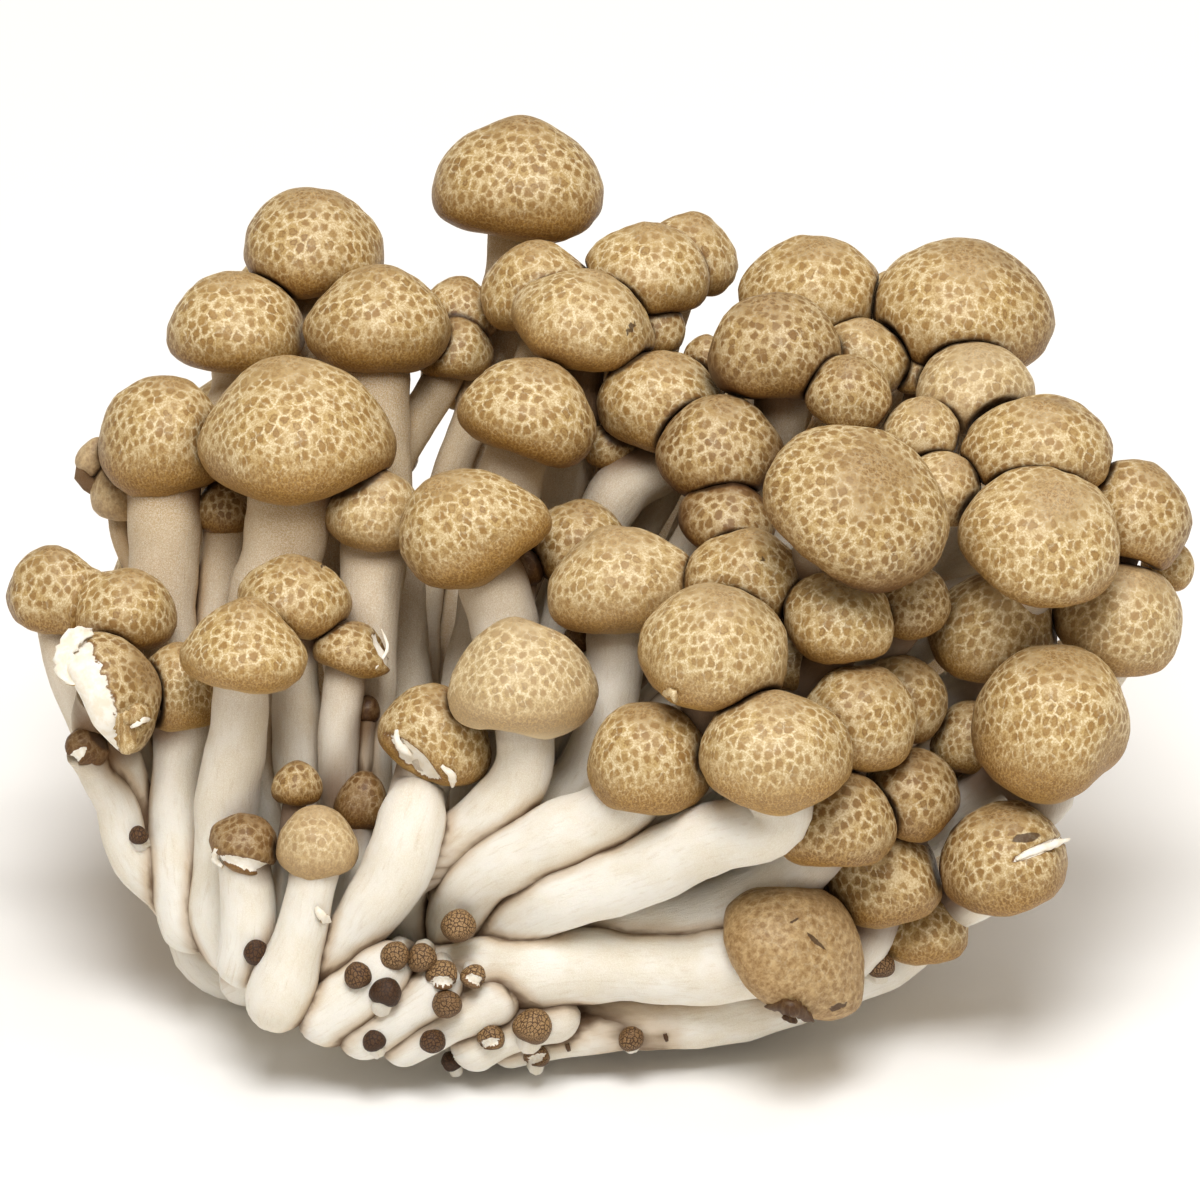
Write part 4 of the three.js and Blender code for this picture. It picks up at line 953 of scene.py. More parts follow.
# Caps whose spots are faint under a wrinkled, even skin.
PLAIN = {"cap_av": 0.7, "cap_bp": 0.2, "cap_bo": 0.35, "young_12": 0.6, "young_14": 0.8}
TORN_DEPTH = 0.45         # mm that the skin and the flesh under it are torn away
TORN_FROM = 1.1           # where the skin begins to go down; 1 is the edge of the patch,
TORN_EDGE = 0.25          # and over how much it does
PATCH_BACK = 0.2          # radii behind a cap's middle to which a patch may reach
UNTOUCHED = 9.0           # stands for any reach so far off that nothing shows


def patch_reach(cap, world, table):
    """How far each point of a cap lies from the nearest patch of a table: 1 is the patch's edge."""
    reach = np.full(len(world), UNTOUCHED)
    u, v = side_place(world)
    outward = (world - cap.centre) @ SIDE_AXES[2] > -PATCH_BACK * cap.radius
    for at_u, at_v, long, wide, turn in table.get(cap.name, []):
        turn = math.radians(turn)
        along = (u - at_u) * math.cos(turn) + (v - at_v) * math.sin(turn)
        across = (v - at_v) * math.cos(turn) - (u - at_u) * math.sin(turn)
        reach = np.where(outward, np.minimum(reach, np.hypot(along / long, across / wide)), reach)
    return reach.clip(0, UNTOUCHED)


def tone_with_painted_edge_shade(cap, world):
    """A cap's tone at each point, with the painted shade and painted light of its edge."""
    out = (world - cap.centre) @ SIDE_AXES.T
    out /= np.linalg.norm(out, axis=1)[:, None]
    # painted shade, and painted light, grows as the skin turns out of the showing side towards the cap's edge
    edge = ((EDGE_FROM - out[:, 2]) / (EDGE_FROM - EDGE_FULL)).clip(0, 1)
    tone = np.full(len(world), cap.tone)
    for angle, change in EDGE_PAINTED_SHADES.get(cap.name, []):
        angle = math.radians(angle)
        toward = (out[:, 0] * math.cos(angle) + out[:, 1] * math.sin(angle)).clip(0, 1)
        tone = tone + change * edge * toward ** 2
    return tone


def add_object(name, data):
    piece = bpy.data.objects.new(name, data)
    bpy.context.scene.collection.objects.link(piece)
    return piece


def mesh_from(name, points, faces, materials, indices=None):
    """A smooth mesh; `indices` says which of its materials each face has."""
    mesh = bpy.data.meshes.new(name)
    mesh.from_pydata([tuple(p) for p in points], [], faces)
    for material in materials:
        mesh.materials.append(material)
    if indices is not None:
        mesh.polygons.foreach_set("material_index", np.array(indices, dtype=np.int32))
    mesh.polygons.foreach_set("use_smooth", np.full(len(mesh.polygons), True))
    mesh.update()
    return mesh


def store(mesh, name, values, kind="FLOAT"):
    """Keeps a value for each point of a mesh, which its material reads."""
    attribute = mesh.attributes.new(name, kind, "POINT")
    key = "vector" if kind == "FLOAT_VECTOR" else "value"
    attribute.data.foreach_set(key, np.asarray(values, dtype=np.float32).ravel())


def cap_faces(sides, under):
    """Faces between an apex, the rings and a last point in the middle, and the material of each."""
    faces = [(0, 1 + i, 1 + (i + 1) % sides) for i in range(sides)]
    slots = [0] * sides
    for row, slot in enumerate(under[1:].tolist()):
        start, after = 1 + row * sides, 1 + (row + 1) * sides
        for i in range(sides):
            j = (i + 1) % sides
            faces.append((start + i, after + i, after + j, start + j))
            slots.append(slot)
    last, end = 1 + (len(under) - 1) * sides, 1 + len(under) * sides
    faces += [(last + i, end, last + (i + 1) % sides) for i in range(sides)]
    return faces, slots + [1] * sides


def cap_part(cap, seed, others, fineness=COARSE):
    """A cap's points in the clump's frame, its faces and what its skin reads."""
    sides, *steps = fineness
    rows = meridian(cap, *steps)[1:]
    local = cap_points(cap, seed, sides, rows)
    apex = local[:sides].mean(axis=0)
    apex[2] = cap.crown + (apex[2] - cap.crown) * APEX_FLAT
    inner = local[-sides:].mean(axis=0)
    local = np.vstack([apex, local, inner])
    world = local @ cap.turn.T + cap.centre
    for spot, reach, push in LUMPS.get(cap.name, []):
        near = np.exp(-(np.linalg.norm(world - place(spot), axis=1) / reach) ** 2)
        world = world + near[:, None] * (np.array(push) @ SIDE_AXES)
    world, touch = press(world, cap, others)
    torn = patch_reach(cap, world, TORN)
    out = world - cap.centre
    out /= np.linalg.norm(out, axis=1)[:, None]
    world = world - out * (TORN_DEPTH * ((TORN_FROM - torn) / TORN_EDGE).clip(0, 1))[:, None]
    world[:, 2] = world[:, 2].clip(0)
    count = len(rows)
    ring = np.concatenate([[0.0], np.repeat(rows[:, 2], sides), [3.0]])
    faces, slots = cap_faces(sides, rows[:, 3].astype(int))
    shift = np.random.RandomState(seed + SHIFT_SEED).uniform(-SKIN_SHIFT, SKIN_SHIFT, 3)
    skin = (local + shift) * cap.fineness
    gaps = np.linalg.norm(np.diff(np.vstack([[0, cap.crown], rows[:, :2]]), axis=0), axis=1)
    arc = np.repeat(np.cumsum(gaps), sides)
    turn = np.tile(np.linspace(0, 2 * math.pi, sides, endpoint=False), count)
    chart = np.stack([arc * np.cos(turn), arc * np.sin(turn), 0 * arc], axis=1) * CHART_SQUEEZE
    chart = (np.vstack([[0, 0, 0], chart, [0, 0, 0]]) + shift * [1, 1, 0]) * cap.fineness
    plain = BUTTON if cap.name.startswith("pin") else PLAIN.get(cap.name, 0.0)
    return {"points": world, "faces": faces, "slots": slots, "ring": ring, "skin": skin, "chart": chart,
            "under": local, "tone": tone_with_painted_edge_shade(cap, world), "torn": torn, "touch": touch,
            "mark": patch_reach(cap, world, MARKS), "plain": np.full(len(world), plain)}


def cap_object(name, parts):
    """One object of one or more caps."""
    points = np.vstack([part["points"] for part in parts]) * MM
    faces, slots, start = [], [], 0
    for part in parts:
        faces += [tuple(corner + start for corner in face) for face in part["faces"]]
        slots += part["slots"]
        start += len(part["points"])
    mesh = mesh_from(name, points, faces, [skin_material, gill_material], slots)
    for label in ("ring", "tone", "torn", "mark", "touch", "plain"):
        store(mesh, label, np.concatenate([part[label] for part in parts]))
    for label in ("skin", "chart", "under"):
        store(mesh, label, np.vstack([part[label] for part in parts]), "FLOAT_VECTOR")
    piece = add_object(name, mesh)
    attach(piece, "root")
    return piece


everyone = showing + young + far_side
for i, cap in enumerate(everyone):
    cap.power = crown_power(cap, POWER_SEED + i)
for i, cap in enumerate(showing):
    part = cap_part(cap, CAP_SEED + i, everyone, FINE)
    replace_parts(cap_object(cap.name.replace("cap_", "skin_cap_"), [part]), cap.name)


def caps_of(name, mushrooms, seed, others):
    """One object of the caps of several small mushrooms."""
    return cap_object(name, [cap_part(cap, seed + i, others) for i, cap in enumerate(mushrooms)])


young_caps = caps_of("young_caps", young, YOUNG_SEED, everyone)
far_caps = caps_of("far_side_caps", far_side, FAR_SEED, everyone)

PIN_HEIGHT = 0.85         # height of a button for each width
PIN_STEM = 0.6            # radius of its stem for each radius
PIN_FINENESS = 2.6
PIN_LEAN, PIN_NOD = (-25, 25), (20, 55)     # degrees between which they are drawn
PIN_TOWARD = 0.1          # how far towards the hub its stem goes,
PIN_RISE, PIN_DEEP = 1, 5             # and how far up and into the clump, in mm


def pin_mushroom(index, spot):
    """A button stands out of the clump, a little this way or that."""
    u, v, near, radius, tone = spot
    draw = np.random.RandomState(PIN_SEED + index)
    way = (u * (1 - PIN_TOWARD) + HUB[0] * PIN_TOWARD,
           v * (1 - PIN_TOWARD) + HUB[1] * PIN_TOWARD + PIN_RISE, near - PIN_DEEP)
    row = (u, v, near, radius * 2, PIN_HEIGHT, draw.uniform(*PIN_LEAN), draw.uniform(*PIN_NOD),
           radius * PIN_STEM, [way], tone)
    return Mushroom(f"pin_{index + 1}", row)


pins = [pin_mushroom(i, spot) for i, spot in enumerate(PINS)]
for cap in pins:
    cap.fineness = PIN_FINENESS
pin_caps = caps_of("pin_buttons", pins, PIN_CAP_SEED, [])

# ---- stems --------------------------------------------------------------------------------

STEM_SIDES = 22
STEM_STEP = 1.1           # mm along a stem
STEM_UNEVEN = 0.45        # mm of unevenness on a stem's skin
# Soft swellings along a stem: how high for each radius, and their shortest and longest length in mm.
STEM_SWELLS = ((0.04, 11, 20), (0.02, 4, 7))
SWELL_PHASE = 6.28        # radians over which their phase is drawn
FLARE = 0.12              # how much wider a stem is under its cap,
FLARE_REACH = 1.1         # over this many of its radii
TIP_LONG = 1.1            # length of a rounded tip, for each radius
END_LEAST = 0.02          # square of the share of its radius that an end keeps
UNEVEN_SCALE = 0.8        # how fine the unevenness is,
UNEVEN_STRETCH = (1.0, 1.0, 0.3)      # and how much coarser along the stem
END_RINGS = 9             # rings over a rounded end
FIBRE_ROUND = 2.6         # mm; radius at which the fibres' pattern runs round every stem
FIBRE_SHIFT = 17.3        # mm between one stem's pattern and the next one's
# the browning near another stem is painted shade between the stems
CROWD_REACH = 1.45        # mm from another stem over which the flesh is browned
CROWD_LOOK = 26           # points of stems that are looked at round each point
# a stem shut in by caps is given painted shade
CAP_REACH = 3.0           # mm from a cap over which a stem counts as shut in
CAP_LOOK = 1.3            # radii of a cap round its middle, and twice CAP_REACH, that are looked at
TAN_FROM, TAN_FULL = 22.0, 56.0   # heights on the showing side between which the flesh turns tan
# deeper in the clump the flesh also turns tan, as painted shade
DEEP_FROM, DEEP_FULL = 0.0, -12.0     # and how deep in the clump, but there
DEEP_PAINTED_SHADE_SHARE = 0.5                        # only by this share,
DEEP_LOW, DEEP_OVER = 12.0, 10.0      # and not below this height, over so many mm
PALER_FROM, PALER_TOP = 42.0, 74.0    # right of and below this the flesh stays paler,
PALER_OVER, PALER_BY = 8.0, 0.42      # over this many mm and by this share


def smooth_route(route, step):
    """A centripetal Catmull-Rom curve through (place, radius), sampled about every `step` mm."""
    knots = [np.append(spot, radius) for spot, radius in route]
    knots = [2 * knots[0] - knots[1]] + knots + [2 * knots[-1] - knots[-2]]
    line = []
    for p0, p1, p2, p3 in zip(knots, knots[1:], knots[2:], knots[3:]):
        t0 = 0.0
        t1 = t0 + math.sqrt(np.linalg.norm(p1[:3] - p0[:3]))
        t2 = t1 + math.sqrt(np.linalg.norm(p2[:3] - p1[:3]))
        t3 = t2 + math.sqrt(np.linalg.norm(p3[:3] - p2[:3]))
        count = max(2, int(np.linalg.norm(p2[:3] - p1[:3]) / step))
        for i in range(count):
            t = t1 + (t2 - t1) * i / count
            a1 = (t1 - t) / (t1 - t0) * p0 + (t - t0) / (t1 - t0) * p1
            a2 = (t2 - t) / (t2 - t1) * p1 + (t - t1) / (t2 - t1) * p2
            a3 = (t3 - t) / (t3 - t2) * p2 + (t - t2) / (t3 - t2) * p3
            b1 = (t2 - t) / (t2 - t0) * a1 + (t - t0) / (t2 - t0) * a2
            b2 = (t3 - t) / (t3 - t1) * a2 + (t - t1) / (t3 - t1) * a3
            line.append((t2 - t) / (t2 - t1) * b1 + (t - t1) / (t2 - t1) * b2)
    line.append(knots[-2])
    return np.array(line)


def rounded_end(distance, radius):
    """Shrinks a stem to a rounded end over the last stretch before `distance` is nought."""
    return np.sqrt(np.clip(1 - (1 - distance / radius).clip(0, 1) ** 2, END_LEAST, 1))


def stem_widths(length, radius, seed, tip, base):
    """Radius along a stem, with soft swellings, a slight flare under the cap and rounded ends."""
    draw = np.random.RandomState(seed)
    wide = radius
    for high, shortest, longest in STEM_SWELLS:
        swell = np.sin(length * 2 * math.pi / draw.uniform(shortest, longest) + draw.uniform(0, SWELL_PHASE))
        wide = wide * (1 + high * swell)
    if tip:
        wide = wide * rounded_end(length, radius * TIP_LONG)
    else:
        wide = wide * (1 + FLARE * np.exp(-length / (radius * FLARE_REACH)))
    if base:
        wide = wide * rounded_end(length[-1] - length, radius)
    return wide


def end_rings(line, tip, base):
    """Adds close rings where a stem is rounded: line is (place, radius) along it."""
    gaps = np.linalg.norm(np.diff(line[:, :3], axis=0), axis=1)
    length = np.concatenate([[0.0], np.cumsum(gaps)])
    steps = 1 - np.cos(np.linspace(0, math.pi / 2, END_RINGS))
    spots = [length]
    if tip:
        spots.append(steps * line[0, 3])
    if base:
        spots.append(length[-1] - steps * line[-1, 3])
    spots = np.unique(np.concatenate(spots).round(2))
    return np.stack([np.interp(spots, length, line[:, k]) for k in range(4)], axis=1)


def crowding(points, owner, lines):
    """How close each point of a stem comes to another stem's skin: 1 where they touch."""
    centres = np.vstack([line[:, :3] for line, _ in lines])
    widths = np.concatenate([wide for _, wide in lines])
    whose = np.concatenate([np.full(len(wide), i) for i, (_, wide) in enumerate(lines)])
    tree = KDTree(len(centres))
    for i, spot in enumerate(centres):
        tree.insert(spot, i)
    tree.balance()
    gap = np.full(len(points), UNTOUCHED)
    for i, spot in enumerate(points):
        for _, other, far in tree.find_n(spot, CROWD_LOOK):
            if whose[other] != owner[i]:
                gap[i] = min(gap[i], far - widths[other])
    return nearness(gap, CROWD_REACH)


def shut_in(points):
    """How many caps a point of a stem lies close to, each counted 1 where it touches."""
    total = np.zeros(len(points))
    for cap in everyone:
        close = np.linalg.norm(points - cap.centre, axis=1) < cap.radius * CAP_LOOK + 2 * CAP_REACH
        depth, _ = depth_in(cap, points[close])
        total[close] += nearness((depth - 1) * cap.radius, CAP_REACH)
    return total


def stem_curves(name, routes):
    """A curve object with one spline for each stem: (route, seed, rounded tip, rounded base)."""
    curve = bpy.data.curves.new(name, "CURVE")
    curve.dimensions = "3D"
    lines = []
    for route, seed, tip, base in routes:
        line = end_rings(smooth_route(route, STEM_STEP), tip, base)
        line, radius = line[:, :3].copy(), line[:, 3]
        gaps = np.linalg.norm(np.diff(line, axis=0), axis=1)
        length = np.concatenate([[0.0], np.cumsum(gaps)])
        wide = stem_widths(length, radius, seed, tip, base)
        line[:, 2] = np.maximum(line[:, 2], 0.0)
        spline = curve.splines.new("POLY")
        spline.points.add(len(line) - 1)
        flat = np.concatenate([line * MM, np.ones((len(line), 1))], axis=1)
        spline.points.foreach_set("co", flat.ravel())
        spline.points.foreach_set("radius", wide)
        lines.append((line, wide))
    return add_object(name, curve), lines


def stem_tree():
    """Skins each curve with a slightly uneven round stem and stores what its flesh reads."""
    tree = bpy.data.node_groups.new("stem_skin", "GeometryNodeTree")
    face = tree.interface
    face.new_socket("Geometry", in_out="INPUT", socket_type="NodeSocketGeometry")
    face.new_socket("Sides", in_out="INPUT", socket_type="NodeSocketInt")
    face.new_socket("Uneven", in_out="INPUT", socket_type="NodeSocketFloat")
    face.new_socket("Flesh", in_out="INPUT", socket_type="NodeSocketMaterial")
    face.new_socket("Geometry", in_out="OUTPUT", socket_type="NodeSocketGeometry")
    nodes, link = tree.nodes, tree.links.new
    given, out = nodes.new("NodeGroupInput"), nodes.new("NodeGroupOutput")

    def capture(geometry, items):
        """Keeps fields of a curve, so that the stem's skin can read them."""
        node = nodes.new("GeometryNodeCaptureAttribute")
        link(geometry, node.inputs["Geometry"])
        for kind, label, value in items:
            node.capture_items.new(kind, label)
            link(value, node.inputs[label])
        return node

    along = nodes.new("GeometryNodeSplineParameter")
    number = nodes.new("GeometryNodeInputIndex")
    whose = nodes.new("GeometryNodeFieldOnDomain")
    whose.data_type = "INT"
    whose.domain = "CURVE"
    link(number.outputs[0], whose.inputs[0])
    path = capture(given.outputs["Geometry"], [
        ("FLOAT", "Length", along.outputs["Length"]),
        ("FLOAT", "Whose", whose.outputs[0]),
    ])
    circle = nodes.new("GeometryNodeCurvePrimitiveCircle")
    circle.inputs["Radius"].default_value = MM
    link(given.outputs["Sides"], circle.inputs["Resolution"])
    around = nodes.new("GeometryNodeSplineParameter")
    section = capture(circle.outputs["Curve"], [("FLOAT", "Around", around.outputs["Factor"])])
    width = nodes.new("GeometryNodeInputRadius")
    skin = nodes.new("GeometryNodeCurveToMesh")
    skin.inputs["Fill Caps"].default_value = True
    link(path.outputs["Geometry"], skin.inputs["Curve"])
    link(section.outputs["Geometry"], skin.inputs["Profile Curve"])
    link(width.outputs[0], skin.inputs["Scale"])

    def number_node(operation, a, b):
        """Arithmetic on two numbers or sockets."""
        node = nodes.new("ShaderNodeMath")
        node.operation = operation
        for socket, value in zip(node.inputs, (a, b)):
            if isinstance(value, (int, float)):
                socket.default_value = value
            else:
                link(value, socket)
        return node.outputs[0]

    angle = number_node("MULTIPLY", section.outputs["Around"], 2 * math.pi)
    shift = number_node("MULTIPLY", path.outputs["Whose"], FIBRE_SHIFT)
    length = number_node("MULTIPLY", path.outputs["Length"], 1 / MM)
    fibre = nodes.new("ShaderNodeCombineXYZ")
    link(number_node("MULTIPLY", number_node("COSINE", angle, 0), FIBRE_ROUND), fibre.inputs[0])
    link(number_node("MULTIPLY", number_node("SINE", angle, 0), FIBRE_ROUND), fibre.inputs[1])
    link(number_node("ADD", length, shift), fibre.inputs[2])
    uneven = nodes.new("ShaderNodeTexNoise")
    uneven.inputs["Scale"].default_value = UNEVEN_SCALE
    stretch = nodes.new("ShaderNodeVectorMath")
    stretch.operation = "MULTIPLY"
    stretch.inputs[1].default_value = UNEVEN_STRETCH
    link(fibre.outputs[0], stretch.inputs[0])
    link(stretch.outputs[0], uneven.inputs["Vector"])
    swing = number_node("SUBTRACT", uneven.outputs["Fac"], 0.5)
    rise = number_node("MULTIPLY", swing, given.outputs["Uneven"])
    push = nodes.new("ShaderNodeVectorMath")
    push.operation = "SCALE"
    normal = nodes.new("GeometryNodeInputNormal")
    link(normal.outputs[0], push.inputs[0])
    link(rise, push.inputs["Scale"])
    moved = nodes.new("GeometryNodeSetPosition")
    link(skin.outputs["Mesh"], moved.inputs["Geometry"])
    link(push.outputs[0], moved.inputs["Offset"])
    held = moved.outputs["Geometry"]
    for label, kind, value in (("fibre", "FLOAT_VECTOR", fibre.outputs[0]), ("along", "FLOAT", length)):
        node = nodes.new("GeometryNodeStoreNamedAttribute")
        node.data_type = kind
        node.inputs["Name"].default_value = label
        link(held, node.inputs["Geometry"])
        link(value, node.inputs["Value"])
        held = node.outputs["Geometry"]
    smooth = nodes.new("GeometryNodeSetShadeSmooth")
    link(held, smooth.inputs["Geometry"])
    real = nodes.new("GeometryNodeRealizeInstances")
    link(smooth.outputs["Geometry"], real.inputs["Geometry"])
    painted = nodes.new("GeometryNodeSetMaterial")
    link(real.outputs["Geometry"], painted.inputs["Geometry"])
    link(given.outputs["Flesh"], painted.inputs["Material"])
    link(painted.outputs["Geometry"], out.inputs["Geometry"])
    return tree


def made_plain(piece, tree, values, name):
    """Runs a geometry tree on an object and keeps the result as a plain mesh object."""
    modifier = piece.modifiers.new(tree.name, "NODES")
    modifier.node_group = tree
    for item in tree.interface.items_tree:
        if item.item_type == "SOCKET" and item.in_out == "INPUT" and item.name in values:
            modifier[item.identifier] = values[item.name]
    bpy.context.view_layer.update()
    result = piece.evaluated_get(bpy.context.evaluated_depsgraph_get())
    mesh = bpy.data.meshes.new_from_object(result)
    mesh.name = name
    plain = add_object(name, mesh)
    bpy.data.objects.remove(piece)
    return plain


stem_skin = stem_tree()


def stem_piece(name, routes):
    """One object of several stems, with what their flesh reads stored at its points."""
    paths, lines = stem_curves(name + "_paths", routes)
    piece = made_plain(
        paths, stem_skin,
        {"Sides": STEM_SIDES, "Uneven": STEM_UNEVEN * MM, "Flesh": stem_material}, name,
    )
    points = np.empty(len(piece.data.vertices) * 3)
    piece.data.vertices.foreach_get("co", points)
    points = points.reshape(-1, 3) / MM
    points[:, 2] = points[:, 2].clip(0)
    piece.data.vertices.foreach_set("co", (points * MM).ravel())
    u, v = side_place(points)
    near = (points + [0, FOOT_AT[1], 0]) @ SIDE_AXES[2]
    high = (v - TAN_FROM) / (TAN_FULL - TAN_FROM)
    paler = ((u - PALER_FROM) / PALER_OVER).clip(0, 1) * ((PALER_TOP - v) / PALER_OVER).clip(0, 1)
    high = high * (1 - PALER_BY * paler)
    # the stored tan is the flesh's own tan higher up, and painted shade deep in the clump
    deep_painted_shade = (DEEP_FROM - near) / (DEEP_FROM - DEEP_FULL) * ((v - DEEP_LOW) / DEEP_OVER).clip(0, 1)
    store(piece.data, "tan", np.maximum(high, DEEP_PAINTED_SHADE_SHARE * deep_painted_shade).clip(0, 1))
    owner = np.concatenate([np.full(len(wide) * STEM_SIDES, i) for i, (_, wide) in enumerate(lines)])
    store(piece.data, "crowd", crowding(points, owner, lines))
    store(piece.data, "shut", shut_in(points))
    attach(piece, "root")
    return piece


def routes_of(mushrooms, seed):
    """What `stem_curves` asks for each mushroom's stem."""
    return [(mushroom.stem_route(), seed + i, False, mushroom.name in SHOWN_BASES)
            for i, mushroom in enumerate(mushrooms)]


low_routes = [([(place(way), radius) for way in ways], LOW_STEM_SEED + i, True, i < SHOWN_ENDS)
              for i, (radius, ways) in enumerate(LOW_STEMS)]
stems = stem_piece(
    "stems", routes_of(showing, STEM_SEED) + routes_of(young, YOUNG_STEM_SEED) + low_routes)
far_stems = stem_piece("far_side_stems", routes_of(far_side, FAR_STEM_SEED))
pin_stems = stem_piece("pin_stems", routes_of(pins, PIN_STEM_SEED))

# ---- foot ---------------------------------------------------------------------------------


FOOT_SIDES, FOOT_STEPS = 72, 18
FOOT_WAVES, FOOT_WAVE = 8, 7.0        # waves of its unevenness, and their length in mm
FOOT_UNEVEN = 0.5 * 0.03              # how high they are, for each radius


def foot_object():
    """The lump in which the stems join, cut flat underneath."""
    sides, steps = FOOT_SIDES, FOOT_STEPS
    points, faces = [], []
    base = math.asin(FOOT_SINK / (FOOT_SIZE[2] / 2))
    for row in range(steps):
        tilt = -base + (math.pi / 2 + base) * row / steps
        for i in range(sides):
            turn = 2 * math.pi * i / sides
            points.append((FOOT_SIZE[0] / 2 * math.cos(tilt) * math.cos(turn),
                           FOOT_SIZE[1] / 2 * math.cos(tilt) * math.sin(turn),
                           FOOT_SINK + FOOT_SIZE[2] / 2 * math.sin(tilt)))
    points = np.array(points)
    points[:, :2] *= 1 + ripple(points, FOOT_SEED, FOOT_WAVES, FOOT_UNEVEN, FOOT_WAVE)[:, None]
    points[:sides, 2] = 0.0
    points = np.vstack([points, [0, 0, FOOT_SINK + FOOT_SIZE[2] / 2], [0, 0, 0]])
    for row in range(steps - 1):
        for i in range(sides):
            j = (i + 1) % sides
            a, b = row * sides, (row + 1) * sides
            faces.append((a + i, a + j, b + j, b + i))
    top, bottom = sides * steps, sides * steps + 1
    for i in range(sides):
        j = (i + 1) % sides
        faces.append(((steps - 1) * sides + i, (steps - 1) * sides + j, top))
        faces.append((j, i, bottom))
    return add_object("foot", mesh_from("foot", points * MM, faces, [foot_material]))


# ---- torn scraps --------------------------------------------------------------------------

SCRAP_THICK = 0.22        # mm
SCRAP_STEP = 0.3          # mm along a scrap
SCRAP_DROP = 2.0          # mm that a scrap may follow the surface down from its nearest point
SCRAP_ACROSS = 5          # points across a scrap
SCRAP_RAGGED = 0.25       # how far its edge strays, for each half width
SCRAP_FINENESS = 1.6
SCRAP_RING = 0.9          # where on a cap its skin is from; 1 is the widest ring
TIP_PART, TIP_ROOM = 0.6, 0.2         # shares of a step that leave a scrap's tips a little width
SKIN_OUT, FLESH_OUT = UNTOUCHED, 0.0
RAY_FROM = 80.0           # mm in front of the showing side from which its surface is looked for

# Loose flaps and slivers: places along the middle (u, v and how far off the surface), half width,
# how far it arches for each half width, tone, and which side shows.
SCRAPS = [
    ([(9.4, 43.6, 0.0), (7.6, 43.0, 0.5), (6.6, 41.4, 0.8), (6.6, 39.6, 0.8), (7.6, 38.4, 0.2)],
     1.0, -0.3, 0.2, FLESH_OUT),
    ([(12.3, 35.6, 0.2), (12.9, 33.4, 0.8), (12.6, 31.4, 0.9)], 1.3, 0.4, 0.1, SKIN_OUT),
    ([(12.6, 34.6, 0.8), (13.8, 35.4, 1.6), (15.2, 35.2, 0.6)], 0.9, 0.3, 0.2, SKIN_OUT),
    ([(13.2, 34.0, 1.6), (14.2, 34.6, 2.2), (15.0, 34.9, 1.6)], 0.35, 0.2, 0.0, FLESH_OUT),
    ([(39.7, 33.8, 0.1), (39.9, 32.4, 0.6), (41.2, 31.2, 0.3)], 0.4, 0.4, 0.0, FLESH_OUT),
    ([(44.2, 30.2, 0.2), (45.2, 29.2, 0.7), (45.3, 28.2, 0.4)], 0.4, 0.4, 0.0, FLESH_OUT),
    ([(21.8, 22.0, 0.1), (21.6, 20.8, 0.6), (22.4, 20.1, 0.3)], 0.35, 0.3, 0.3, FLESH_OUT),
    ([(101.4, 20.8, 0.0), (104.2, 22.0, 0.4), (106.8, 22.9, 0.1)], 0.4, 0.4, 0.0, FLESH_OUT),
    ([(38.2, 43.8, 0.1), (38.8, 42.0, 0.4), (37.6, 39.8, 0.2)], 0.18, 0.3, 0.0, FLESH_OUT),
    ([(76.8, 6.2, 0.3), (79.0, 6.2, 0.9), (81.0, 4.9, 0.4)], 0.8, 0.6, 1.2, SKIN_OUT),
    ([(78.2, 5.2, 0.6), (79.6, 4.6, 1.0)], 0.4, 0.4, 1.2, SKIN_OUT),
    ([(31.7, 16.1, 0.2), (32.3, 15.2, 0.7), (33.0, 14.7, 0.3)], 0.45, 0.4, 0.0, FLESH_OUT),
    ([(66.4, 37.4, 0.1), (67.2, 37.4, 0.9), (67.5, 36.6, 1.1)], 0.45, 0.4, -0.3, SKIN_OUT),
    ([(56.7, 2.4, 0.1), (56.9, 1.7, 0.2)], 0.22, 0.3, 1.2, SKIN_OUT),
    ([(66.5, 3.4, 0.1), (66.7, 2.7, 0.2)], 0.22, 0.3, 1.2, SKIN_OUT),
]


def surface_near(u, v):
    """How near the showing side's outermost surface comes at (u, v), in mm."""
    start = Vector(place((u, v, RAY_FROM)) * MM)
    layer = bpy.context.evaluated_depsgraph_get()
    found, at, *_ = bpy.context.scene.ray_cast(layer, start, -Vector(SIDE_AXES[2]))
    return RAY_FROM - (at - start).length / MM if found else 0.0


def sheet_faces(steps, count):
    """Both sides and the rim of a thin sheet, whose back repeats the points of its front."""
    faces, wide = [], SCRAP_ACROSS
    for i in range(steps - 1):
        for j in range(wide - 1):
            a, b = i * wide + j, (i + 1) * wide + j
            faces.append((a, a + 1, b + 1, b))
            faces.append((a + count, b + count, b + 1 + count, a + 1 + count))
    rim = (list(range(wide)) + [i * wide + wide - 1 for i in range(1, steps)]
           + [(steps - 1) * wide + j for j in range(wide - 2, -1, -1)]
           + [i * wide for i in range(steps - 2, 0, -1)])
    for a, b in zip(rim, rim[1:] + rim[:1]):
        faces.append((b, a, a + count, b + count))
    return faces


